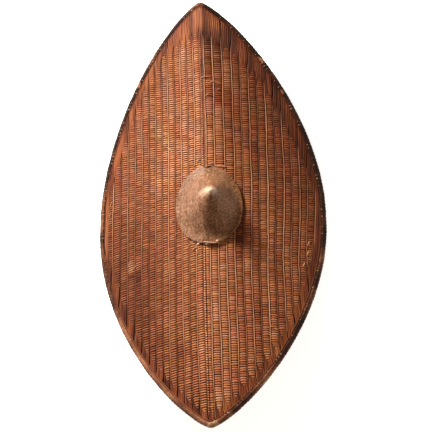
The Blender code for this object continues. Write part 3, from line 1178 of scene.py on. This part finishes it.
def makeCore():
    # a dark sheet inside the weave, seen only through gaps: painted shade behind the strands
    rows = coreShape["rows"]
    across = coreShape["across"]
    end = halfLength - coreShape["endInset"]
    vertices = []
    for layer in (1, -1):
        for row in range(rows + 1):
            y = -end + 2 * end * row / rows
            for n in range(2 * across + 1):
                lateral = reachAt(y, coreShape["sideInset"], 0.0) * (n - across) / across
                vertices.append(onShield(lateral, y, coreShape["halfThickness"] * layer))
    width = 2 * across + 1
    faces = []
    layerSize = (rows + 1) * width
    for row in range(rows):
        for n in range(width - 1):
            a = row * width + n
            faces.append((a, a + 1, a + width + 1, a + width))
            b = a + layerSize
            faces.append((b, b + width, b + width + 1, b + 1))
    edge = list(range(width))
    edge += [row * width + width - 1 for row in range(1, rows + 1)]
    edge += [rows * width + n for n in range(width - 2, -1, -1)]
    edge += [row * width for row in range(rows - 1, 0, -1)]
    for n, a in enumerate(edge):
        b = edge[(n + 1) % len(edge)]
        faces.append((a, a + layerSize, b + layerSize, b))
    return addMesh("innerSheet", vertices, faces, makeCoreMaterial())


wovenPieces.append(makeCore())
for piece in wovenPieces:
    join(piece, "wicker_body")
print("weave finished")

# Hide rolled over the edge, its inner strip of cane, and the stitches that hold them.
edging = {
    "pathSteps": 60,
    "tone": 0.45,
    "roll": {
        "Width": 0.0106,
        "Height": 0.0108,
        "Step": 0.0022,
        "Stitch Pitch": 0.0074,
        "Pinch": 0.10,
        "Lumps": 0.0011,
    },
    "rollInset": 0.0022,
    "rollSides": 14,
    "swell": 0.30,
    "lap": {
        "Width": 0.0066,
        "Thickness": 0.0026,
        "Step": 0.004,
        "Waver": 0.0008,
        "Waver Scale": 60.0,
        "Sides": 10,
        "Seed": 8,
    },
    "lapInset": 0.0042,
    "lapHeight": 0.0044,
    "strip": {
        "Width": 0.0030,
        "Thickness": 0.0020,
        "Step": 0.006,
        "Waver": 0.0006,
        "Waver Scale": 40.0,
        "Sides": 8,
        "Seed": 5,
    },
    "stripInset": 0.0100,
    "stripHeight": 0.0036,
    "stripTone": 0.20,
    "stripLit": 0.24,
    "stitch": {
        "Stitch Pitch": 0.0074,
        "Half Length": 0.0019,
        "Width": 0.0013,
        "Height": 0.0057,
        "Facing": 1.0,
        "Seed": 58,
    },
    "stitchInset": 0.0066,
    "stitchesLeft": 0.46,
}


def makeRollTree():
    # one soft roll along a closed path, pinched at every stitch
    tree, source, result = newGeometryTree("edgeRoll", {**edging["roll"], "Material": "Material"})
    path, length = evenSteps(tree, source, "Step")
    walked = read(tree, "GeometryNodeSplineParameter", "Length")
    stitches = calc(tree, "ROUND", length / out(source, "Stitch Pitch"))
    wave = calc(tree, "COSINE", walked / length * stitches * (2 * math.pi))
    girth = 1.0 - out(source, "Pinch") * (0.5 + 0.5 * wave)
    swell = centred(tree, read(tree, "GeometryNodeInputPosition"), 38.0)
    girth = girth + swell * edging["swell"]
    swept = sweep(tree, path, edging["rollSides"], out(source, "Width"), out(source, "Height"),
                  girth, False)
    rough = centred(tree, read(tree, "GeometryNodeInputPosition"), 170.0, 3.0, 0.6)
    push = put(tree, "ShaderNodeVectorMath", {
        0: read(tree, "GeometryNodeInputNormal", "Normal"), "Scale": rough * out(source, "Lumps"),
    }, operation="SCALE")
    return finishTree(tree, markCrown(tree, moveBy(tree, swept, out(push)), 1.0), source, result)


def makeStitchTree():
    # small thong stitches laid across a path
    tree, source, result = newGeometryTree("edgeStitches", {**edging["stitch"], "Material": "Material"})
    path = evenSteps(tree, source, "Stitch Pitch")[0]
    facing = out(source, "Facing")
    seed = out(source, "Seed")
    strand = put(tree, "GeometryNodeMeshCylinder", {
        "Vertices": 6, "Side Segments": 5, "Radius": 0.5, "Depth": 2.0,
    })
    x, y, z = separate(tree, read(tree, "GeometryNodeInputPosition"))
    bow = z * z * facing * 0.0016
    up = y * (out(source, "Width") * 0.7) - bow
    strand = store(tree, out(strand, "Mesh"), "crown", 0.5 + y * facing)
    shaped = moveTo(tree, strand, combine(
        tree, z * out(source, "Half Length"), x * out(source, "Width"), up))
    turned = put(tree, "FunctionNodeAlignRotationToVector", {
        "Vector": read(tree, "GeometryNodeInputTangent"),
    }, axis="Y", pivot_axis="Z")
    size = randomBetween(tree, 0.55, 1.30, seed)
    kept = put(tree, "FunctionNodeRandomValue", {
        "Probability": edging["stitchesLeft"], "Seed": seed + 11.0,
    }, data_type="BOOLEAN")
    placed = put(tree, "GeometryNodeInstanceOnPoints", {
        "Points": path, "Selection": out(kept), "Instance": shaped, "Rotation": out(turned),
        "Scale": combine(tree, size, size, size),
    })
    placed = store(tree, out(placed), "tone", randomBetween(tree, 0.35, 1.25, seed + 3.0), "INSTANCE")
    height = combine(tree, 0.0, 0.0, out(source, "Height") * facing)
    return finishTree(tree, moveBy(tree, realize(tree, placed), height), source, result)


def closedLine(inset, height, toneAt=None):
    # one guide line round the outline
    strand = []
    for lateral, y in outlinePath(inset, edging["pathSteps"]):
        tone = toneAt(lateral, y) if toneAt else edging["tone"]
        strand.append(((lateral, y, height), 1.0, tone, 0.0))
    return lineMesh([strand], True, 3)


def stripTone(lateral, y):
    # pale only along the lower left
    lit = smooth(0.02, -0.06, lateral) * smooth(-0.14, -0.24, y)
    return edging["stripTone"] + edging["stripLit"] * lit


hide = {
    "grain": 0.55,
    "rollWearAndShading": {"below": 0.12, "above": -0.04, "left": 0.06, "lit": 0.07, "shaded": 0.05},
    "lapWearAndShading": {"below": 0.07, "above": -0.13, "left": 0.05, "lit": 0.10, "shaded": -0.10},
    "rollColors": [
        (0.34, (0.011, 0.005, 0.004)),
        (0.50, (0.026, 0.011, 0.007)),
        (0.62, (0.090, 0.038, 0.021)),
        (0.74, (0.170, 0.082, 0.046)),
        (0.88, (0.440, 0.270, 0.160)),
    ],
    "lapColors": [
        (0.34, (0.018, 0.008, 0.005)),
        (0.48, (0.052, 0.020, 0.011)),
        (0.60, (0.170, 0.062, 0.031)),
        (0.72, (0.300, 0.125, 0.062)),
        (0.88, (0.560, 0.330, 0.190)),
    ],
    # worn places: distance from the ridge, height up the shield, reach, strength
    "worn": (
        (0.0, 0.443, 0.015, 0.12), (0.003, -0.443, 0.015, 0.30), (-0.1406, 0.2886, 0.012, 0.34),
        (0.1152, 0.3213, 0.011, 0.40), (0.1533, 0.253, 0.010, 0.36), (-0.228, 0.026, 0.055, 0.12),
        (0.220, -0.085, 0.030, 0.16), (-0.2120, -0.120, 0.016, 0.06),
        (0.024, -0.432, 0.028, 0.20), (0.048, -0.416, 0.024, 0.12),
    ),
}


def makeHideMaterial(name, colors, wearAndPaintedLight):
    # smoke-blackened hide, browner below, rubbed to tan where the edge has worn; at the lower right the
    # roll gets painted light in its shade and the lap painted shade
    material, tree, shader = newMaterial(name)
    place = objectPlace(tree, (1.0, 1.0, 1.0))
    x, y = separate(tree, place)[:2]
    fine = noise(tree, place, 420.0, 4.0, 0.65)
    wrinkle = noise(tree, objectPlace(tree, (90.0, 260.0, 260.0)), 1.0, 3.0, 0.6)
    worn = noise(tree, place, 16.0, 3.0, 0.6) + (fine - 0.5) * hide["grain"]
    worn = worn + mapRange(tree, y, -0.30, 0.10, wearAndPaintedLight["below"], wearAndPaintedLight["above"])
    worn = worn + mapRange(tree, x, -0.22, -0.08, wearAndPaintedLight["left"], 0.0)
    shaded = mapRange(tree, x, 0.0, 0.06, 0.0, 1.0) * mapRange(tree, y, -0.20, 0.0, 1.0, 0.0)
    lit = mapRange(tree, x, -0.06, 0.0, 1.0, 0.0) * mapRange(tree, y, -0.28, -0.20, 1.0, 0.0)
    # painted light and shade: the shaded term lightens the roll and darkens the lap at the lower right
    worn = worn + shaded * wearAndPaintedLight["shaded"] + lit * wearAndPaintedLight["lit"]
    for lateral, up, reach, strength in hide["worn"]:
        middle = tuple(onShield(lateral, up, 0.003))
        distance = put(tree, "ShaderNodeVectorMath", {0: place, 1: middle}, operation="DISTANCE")
        worn = worn + mapRange(tree, out(distance), reach * 0.4, reach, strength, 0.0)
    feed(shader, {
        "Base Color": colorRamp(tree, worn, colors),
        "Roughness": mapRange(tree, fine, 0.2, 0.8, 0.50, 0.80, False),
        "Specular IOR Level": 0.12,
        "Normal": bump(tree, wrinkle + fine * 0.4, 0.6, 0.0006),
    })
    return material


stitchTree = makeStitchTree()
rollHide = makeHideMaterial("rolledHide", hide["rollColors"], hide["rollWearAndShading"])
lapHide = makeHideMaterial("lappedHide", hide["lapColors"], hide["lapWearAndShading"])
line = closedLine(edging["rollInset"], 0.0)
join(grow("hideRoll", line, makeRollTree(), {"Material": rollHide}), "rim_binding")
for facing, name in ((1.0, "front"), (-1.0, "back")):
    stitchSeed = edging["stitch"]["Seed"] + int(facing)
    for part, slotName, tree, inset, height, toneAt, values in (
        ("Lap", "hide", strandTree, edging["lapInset"], edging["lapHeight"], None,
         {**edging["lap"], "Material": lapHide}),
        ("EdgeStrip", "cane", strandTree, edging["stripInset"], edging["stripHeight"], stripTone,
         {**edging["strip"], "Material": splintCane}),
        ("Stitches", "thong", stitchTree, edging["stitchInset"], 0.0, None,
         {"Material": stitchCane, "Seed": stitchSeed}),
    ):
        line = closedLine(inset, facing * height, toneAt)
        piece = grow(name + part, line, tree, {**values, "Facing": facing})
        join(piece, "rim_binding")
print("edge sewn")

# The boss, carved from one piece of wood, and the grip and thongs behind and over it.
bossShape = {
    "width": 0.133,
    "length": 0.164,
    "offset": (0.0060, -0.0067),
    "height": 0.063,
    "peak": (0.0188, 0.0005),
    "edge": 0.0042,
    "coneBase": 0.70,
    "tipRounding": 0.06,
    "fillet": 0.16,
    "rings": 72,
    "sides": 220,
    "clearance": 0.0004,
    "toolMarks": 0.0007,
    "chips": 0.028,
    "edgeBulge": 0.0005,
    "innerRings": 14,
    "polishAndHighlight": ((0.0195, 0.0030), (0.0030, 0.0020)),
    "polishAndHighlightReach": 0.0150,
    "thongHoles": ((0.0027, 0.0712), (0.0204, 0.0755), (-0.0020, -0.0855), (0.0250, -0.0855)),
    "holeRadius": 0.0030,
    "holeDepth": 0.0034,
}


def coneProfile(share):
    # a straight flank with a worn peak and a soft bend into the brim
    worn = bossShape["tipRounding"]
    flank = 1 - (math.hypot(share, worn) - worn) / bossShape["coneBase"]
    return (flank + math.hypot(flank, bossShape["fillet"])) / 2


def bossRise(share):
    atEdge = coneProfile(1.0)
    part = (coneProfile(share) - atEdge) / (coneProfile(0.0) - atEdge)
    return bossShape["edge"] + (bossShape["height"] - bossShape["edge"]) * part


def faceHeight(lateral, clearance=0.0):
    thickness = form["ribbedThickness"] / 2 + clearance
    return thickness * math.hypot(1.0, keelSlope(lateral)) - keelDrop(lateral)


def bossPoint(share, angle):
    towardsPeak = (1 - share) ** 1.3
    x = bossShape["offset"][0] + (bossShape["peak"][0] - bossShape["offset"][0]) * towardsPeak
    y = bossShape["offset"][1] + (bossShape["peak"][1] - bossShape["offset"][1]) * towardsPeak
    x += share * bossShape["width"] / 2 * math.cos(angle)
    y += share * bossShape["length"] / 2 * math.sin(angle)
    draped = smooth(0.15, 0.95, share)
    return Vector((x, y, draped * faceHeight(x - centreLine(y)) + bossRise(share)))


def carved(point, share):
    # tool marks and small losses
    marks = mathNoise.noise(Vector((point.x * 75, point.y * 42, point.z * 60)))
    marks += 0.5 * mathNoise.noise(Vector((point.x * 190, point.y * 90, 5.0)))
    point.z += bossShape["toolMarks"] * marks * smooth(0.0, 0.2, share)
    for holeX, holeY in bossShape["thongHoles"]:
        distance = math.hypot(point.x - holeX, point.y - holeY)
        point.z -= bossShape["holeDepth"] * (1 - smooth(0.35, 1.0, distance / bossShape["holeRadius"]))
    return point


def crestPolishAndHighlight(x, y):
    # how far the painted highlight and hand polish reach on the crest that runs left from the peak
    start, end = (Vector(place) for place in bossShape["polishAndHighlight"])
    run = end - start
    share = max(0.0, min(1.0, (Vector((x, y)) - start).dot(run) / run.length_squared))
    distance = (Vector((x, y)) - start - run * share).length
    return (1 - smooth(0.0, 1.0, distance / bossShape["polishAndHighlightReach"])) * (1 - 0.55 * share)


def underside(x, y):
    # the boss's seat, just above the cane
    return Vector((x, y, faceHeight(x - centreLine(y), bossShape["clearance"])))


def makeBoss():
    rings = bossShape["rings"]
    sides = bossShape["sides"]
    innerRings = bossShape["innerRings"]
    middleX, middleY = bossShape["offset"]
    vertices = [carved(bossPoint(0.0, 0.0), 0.0)]
    for ring in range(1, rings + 1):
        share = ring / rings
        for n in range(sides):
            angle = 2 * math.pi * n / sides
            chip = mathNoise.noise(Vector((math.cos(angle) * 9, math.sin(angle) * 9, 2.0)))
            grown = share * (1 - bossShape["chips"] * max(0.0, chip) * smooth(0.9, 1.0, share))
            vertices.append(carved(bossPoint(grown, angle), share))
    last = vertices[-sides:]
    low = [underside(point.x, point.y) for point in last]
    for high, under in zip(last, low):
        outwards = (high - Vector((middleX, middleY, high.z))).normalized()
        vertices.append(high.lerp(under, 0.35) + outwards * bossShape["edgeBulge"])
    vertices += low
    for ring in range(innerRings - 1, 0, -1):
        share = ring / innerRings
        for point in low:
            x = middleX + (point.x - middleX) * share
            y = middleY + (point.y - middleY) * share
            vertices.append(underside(x, y))
    vertices.append(underside(middleX, middleY))
    faces = [(0, 1 + n, 1 + (n + 1) % sides) for n in range(sides)]
    loops = rings + 2 + innerRings - 1
    for ring in range(loops - 1):
        first = 1 + ring * sides
        for n in range(sides):
            after = (n + 1) % sides
            faces.append((first + n, first + sides + n, first + sides + after, first + after))
    first = 1 + (loops - 1) * sides
    centre = len(vertices) - 1
    faces += [(first + n, centre, first + (n + 1) % sides) for n in range(sides)]
    vertices = [(v.x, v.y, v.z + lift) for v in vertices]
    piece = addMesh("carvedBoss", vertices, faces, makeWoodMaterial("bossWood", {
        "grain": (210.0, 26.0, 60.0),
        "colors": [
            (0.20, (0.072, 0.028, 0.010)),
            (0.42, (0.178, 0.078, 0.033)),
            (0.62, (0.310, 0.158, 0.085)),
            (0.85, (0.520, 0.310, 0.190)),
        ],
        "pits": 0.45,
        "mottle": 1.00,
        "strokes": 0.62,
        "roughness": 0.52,
    }))
    wearAndPaintedLight = piece.data.attributes.new("wearAndPaintedLight", "FLOAT", "POINT")
    wearAndPaintedLight.data.foreach_set("value", [crestPolishAndHighlight(x, y) for x, y, z in vertices])
    return piece


def makeWoodMaterial(name, settings):
    # handled wood: long grain, small dark pits, a greasy polish and a painted highlight on what stands
    # proud
    material, tree, shader = newMaterial(name)
    grain = noise(tree, objectPlace(tree, settings["grain"]), 1.0, 5.0, 0.62)
    place = objectPlace(tree, (1.0, 1.0, 1.0))
    x, y, z = separate(tree, place)
    cloud = noise(tree, place, 34.0, 3.0, 0.55)
    speck = noise(tree, place, 520.0, 2.0, 0.7)
    mottle = noise(tree, place, 240.0, 3.0, 0.65)
    tone = grain * 0.38 + cloud * 0.28 + (mottle - 0.5) * settings["mottle"]
    tone = tone + mapRange(tree, y, 0.035, 0.078, 0.17, 0.28)
    # knife strokes that climb to the right
    strokes = combine(tree, (x + y) * 95.0, (x - y) * 290.0, z * 120.0)
    strokes = centred(tree, strokes, 1.0, 3.0, 0.6)
    color = colorRamp(tree, tone + strokes * settings["strokes"], settings["colors"])
    pits = mapRange(tree, speck, 0.60, 0.74, 0.0, settings["pits"])
    # pinker to the left, more olive to the right
    green = mapRange(tree, x, -0.02, 0.05, 1.0, 0.93)
    blue = mapRange(tree, x, -0.02, 0.05, 1.10, 0.80)
    tinted = put(tree, "ShaderNodeVectorMath", {
        0: color, 1: combine(tree, 1.0, green, blue),
    }, operation="MULTIPLY")
    stained = put(tree, "ShaderNodeVectorMath", {
        0: out(tinted), "Scale": 1.0 - pits,
    }, operation="SCALE")
    # painted highlight: a paler colour along the crest, with less roughness for the polish
    worn = attribute(tree, "wearAndPaintedLight") * mapRange(tree, mottle, 0.25, 0.60, 0.45, 1.0)
    polishAndHighlight = put(tree, "ShaderNodeMix", {
        "Factor": worn, "A": out(stained), "B": (0.80, 0.57, 0.41, 1.0),
    }, data_type="RGBA")
    relief = grain + strokes + mottle * 0.8 - pits * 0.5
    feed(shader, {
        "Base Color": out(polishAndHighlight),
        "Roughness": settings["roughness"] + (grain - 0.5) * 0.3 - worn * 0.15,
        "Specular IOR Level": 0.22,
        "Normal": bump(tree, relief, 0.55, 0.0006),
    })
    return material


join(makeBoss(), "boss")


def finishWork(work, name, material):
    # turns loose faces into a piece
    mesh = bpy.data.meshes.new(name)
    work.to_mesh(mesh)
    work.free()
    mesh.materials.append(material)
    return addObject(name, mesh)


def softenedCopy(node, name, material, sharpDegrees):
    # a welded copy of a CAD solid, shaded smooth but for its real edges
    work = bmesh.new()
    work.from_mesh(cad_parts[node].data)
    bmesh.ops.remove_doubles(work, verts=work.verts, dist=0.00002)
    for face in work.faces:
        face.smooth = True
    for edge in work.edges:
        edge.smooth = edge.calc_face_angle(0.0) < math.radians(sharpDegrees)
    return finishWork(work, name, material)


gripWood = makeWoodMaterial("gripWood", {
    "grain": (150.0, 22.0, 60.0),
    "colors": [
        (0.20, (0.055, 0.024, 0.012)),
        (0.50, (0.140, 0.062, 0.030)),
        (0.80, (0.240, 0.118, 0.060)),
    ],
    "pits": 0.5,
    "mottle": 0.4,
    "strokes": 0.2,
    "roughness": 0.38,
})
join(softenedCopy("grip", "carvedGrip", gripWood, 50), "grip")


def makeThongMaterial():
    material, tree, shader = newMaterial("rawhideThong")
    place = objectPlace(tree, (1.0, 1.0, 1.0))
    fine = noise(tree, place, 700.0, 3.0, 0.6)
    cloud = noise(tree, place, 130.0)
    feed(shader, {
        "Base Color": colorRamp(tree, fine * 0.4 + cloud * 0.4 + attribute(tree, "tone") * 0.6, [
            (0.35, (0.060, 0.026, 0.013)),
            (0.60, (0.300, 0.150, 0.078)),
            (0.95, (0.680, 0.430, 0.280)),
        ]),
        "Roughness": mapRange(tree, fine, 0.2, 0.8, 0.50, 0.75, False),
        "Specular IOR Level": 0.20,
        "Normal": bump(tree, fine, 0.5, 0.0003),
    })
    return material


thong = {
    "radius": 0.0015,
    "flatness": 0.65,
    "sides": 10,
    "stepLength": 0.0012,
    "backDepth": 0.0345,
    "backBend": 0.010,
    "backInset": 0.002,
    "frontDive": 0.012,
    "tailDive": 0.006,
    "tailGirth": 0.65,
    "tailTone": 0.80,
    "knotTone": 0.9,
    "loopX": (-0.0060, 0.0180),
    "loopY": {"upper": 0.0698, "lower": -0.0832},
    "upperFront": ((0.0027, 0.0712), (0.0110, 0.0742), (0.0204, 0.0755)),
    "upperTail": ((0.0204, 0.0755), (0.0262, 0.0772), (0.0330, 0.0768), (0.0402, 0.0759)),
    "lowerFront": ((-0.0020, -0.0855), (0.0060, -0.0872), (0.0160, -0.0872), (0.0250, -0.0855)),
    "lowerKnots": ((-0.0138, -0.0872), (0.0235, -0.0833), (0.0030, -0.0890)),
}


def routeAlong(corners, closed):
    # a smooth route through the corners, at even steps
    route = []
    count = len(corners)
    for n in range(count if closed else count - 1):
        if closed:
            a, b, c, d = (corners[(n + k) % count] for k in (-1, 0, 1, 2))
        else:
            a, b, c, d = (corners[max(0, min(count - 1, n + k))] for k in (-1, 0, 1, 2))
        steps = max(2, round((c - b).length / thong["stepLength"]))
        for step in range(steps):
            t = step / steps
            route.append(0.5 * (2 * b + (c - a) * t + (2 * a - 5 * b + 4 * c - d) * t * t
                                + (3 * b - a - 3 * c + d) * t ** 3))
    if not closed:
        route.append(corners[-1])
    return route


def addTube(work, layer, corners, closed, tone, radius):
    route = routeAlong(corners, closed)
    rings = []
    for n, point in enumerate(route):
        before = route[n - 1] if closed or n else point
        after = route[(n + 1) % len(route)] if closed or n + 1 < len(route) else point
        along = (after - before).normalized()
        flat = Vector((0, 1, 0)) if abs(along.y) < 0.9 else Vector((1, 0, 0))
        up = along.cross(flat).normalized()
        across = up.cross(along).normalized()
        girth = radius * (1 + 0.22 * mathNoise.noise(point * 160))
        ring = []
        for k in range(thong["sides"]):
            angle = 2 * math.pi * k / thong["sides"]
            offset = across * math.cos(angle) + up * math.sin(angle) * thong["flatness"]
            vertex = work.verts.new(point + offset * girth)
            vertex[layer] = tone
            ring.append(vertex)
        rings.append(ring)
    for near, far in zip(rings, rings[1:] + (rings[:1] if closed else [])):
        for k in range(thong["sides"]):
            after = (k + 1) % thong["sides"]
            work.faces.new((near[k], near[after], far[after], far[k]))
    if not closed:
        work.faces.new(rings[0][::-1])
        work.faces.new(rings[-1])


def overBrim(x, y, height):
    # a point above the brim, or above the cane where the brim has ended
    share = math.hypot((x - bossShape["offset"][0]) / (bossShape["width"] / 2),
                       (y - bossShape["offset"][1]) / (bossShape["length"] / 2))
    base = faceHeight(x - centreLine(y))
    onWood = bossRise(min(share, 1.0)) * (1 - smooth(0.985, 1.02, share))
    return Vector((x, y, lift + base + onWood + height))


def makeThong(name, where, front, tail, knots, frontTone):
    work = bmesh.new()
    layer = work.verts.layers.float.new("tone")
    low, high = thong["loopX"]
    row = thong["loopY"][where]
    back = lift - thong["backDepth"]
    rise = thong["radius"] * thong["flatness"]
    corners = []
    for n, (x, y) in enumerate(front):
        corners.append(overBrim(x, y, rise if 0 < n < len(front) - 1 else rise * 0.2))
    corners += [
        overBrim(*front[-1], -thong["frontDive"]),
        Vector((high, row, back + thong["backBend"])),
        Vector((high - thong["backInset"], row, back)),
        Vector((low + thong["backInset"], row, back)),
        Vector((low, row, back + thong["backBend"])),
        overBrim(*front[0], -thong["frontDive"]),
    ]
    addTube(work, layer, corners, True, frontTone, thong["radius"])
    if tail:
        corners = [overBrim(*tail[0], -thong["tailDive"])]
        corners += [overBrim(x, y, rise) for x, y in tail]
        corners += [overBrim(*tail[-1], -thong["tailDive"])]
        addTube(work, layer, corners, False, thong["tailTone"], thong["radius"] * thong["tailGirth"])
    for x, y in knots:
        centre = overBrim(x, y, thong["radius"] * 0.6)
        made = bmesh.ops.create_icosphere(work, subdivisions=3, radius=thong["radius"] * 1.5)
        for vertex in made["verts"]:
            vertex.co = Vector((vertex.co.x * 1.2, vertex.co.y * 0.9, vertex.co.z * 0.8)) * (
                1 + 0.25 * mathNoise.noise(vertex.co * 700)) + centre
            vertex[layer] = thong["knotTone"]
    bmesh.ops.recalc_face_normals(work, faces=work.faces)
    for face in work.faces:
        face.smooth = True
    return finishWork(work, name, thongMaterial)


thongMaterial = makeThongMaterial()
for name, where, front, tail, knots, frontTone in (
    ("upperThong", "upper", thong["upperFront"], thong["upperTail"], (), 0.15),
    ("lowerThong", "lower", thong["lowerFront"], (), thong["lowerKnots"], 0.75),
):
    join(makeThong(name, where, front, tail, knots, frontTone), where + "_lashing")
print("boss, grip and thongs finished")

# Studio: pale floor, soft light from the upper left, the photograph's camera.
studio = {
    "distance": 2.534,
    "yaw": 7.8,
    "pitch": 20.5,
    "roll": 0.5,
    "lens": 106.67,
    "shiftX": 0.025,
    "shiftY": -0.0324,
    "floorHalf": 9.0,
    "floorHeight": -0.0006,
    "lampColor": (1.0, 0.93, 0.84),
    "lamps": (
        ("keyLight", (-1.42, 1.72, 1.66), 165.0, 0.60),
        ("fillLight", (1.3, -1.4, 2.2), 1.5, 1.6),
    ),
}


def makeFloor():
    size = studio["floorHalf"]
    corners = [
        (x * size, y * size, studio["floorHeight"]) for x, y in ((-1, -1), (1, -1), (1, 1), (-1, 1))
    ]
    floorMesh = bpy.data.meshes.new("floor")
    floorMesh.from_pydata(corners, [], [(0, 1, 2, 3)])
    floor = addObject("floor", floorMesh)
    material, tree, shader = newMaterial("paleFloor")
    feed(shader, {
        "Base Color": (0.90, 0.90, 0.90, 1.0),
        "Roughness": 0.9,
        "Emission Color": (1.0, 1.0, 1.0, 1.0),
        "Emission Strength": 0.85,
    })
    floorMesh.materials.append(material)


def makeLights():
    world = bpy.data.worlds.new("studio")
    world.use_nodes = True
    feed(world.node_tree.nodes["Background"], {"Color": (1.0, 0.79, 0.60, 1.0), "Strength": 0.24})
    bpy.context.scene.world = world
    for name, place, power, side in studio["lamps"]:
        lamp = bpy.data.lights.new(name, "AREA")
        lamp.energy = power
        lamp.size = side
        lamp.color = studio["lampColor"]
        lampObject = addObject(name, lamp)
        lampObject.location = place
        lampObject.rotation_euler = (-Vector(place)).to_track_quat("-Z", "Y").to_euler()


def makeCamera():
    yaw = math.radians(studio["yaw"])
    pitch = math.radians(studio["pitch"])
    roll = math.radians(studio["roll"])
    towards = Vector((
        math.sin(yaw) * math.cos(pitch),
        -math.sin(pitch),
        math.cos(yaw) * math.cos(pitch),
    ))
    upward = Vector((0.0, 1.0, 0.0))
    upward = (upward - towards * upward.dot(towards)).normalized()
    rightward = upward.cross(towards)
    axes = (
        rightward * math.cos(roll) - upward * math.sin(roll),
        rightward * math.sin(roll) + upward * math.cos(roll),
        towards,
        Vector((0.0, 0.0, lift)) + towards * studio["distance"],
    )
    camera = bpy.data.cameras.new("camera")
    camera.lens = studio["lens"]
    camera.sensor_width = 36.0
    camera.shift_x = studio["shiftX"]
    camera.shift_y = studio["shiftY"]
    cameraObject = addObject("camera", camera)
    matrix = cameraObject.matrix_world.copy()
    for column, axis in enumerate(axes):
        for row in range(3):
            matrix[row][column] = axis[row]
    cameraObject.matrix_world = matrix
    bpy.context.scene.camera = cameraObject
    bpy.context.scene.view_settings.view_transform = "Standard"


makeFloor()
makeLights()
makeCamera()
print("studio ready")
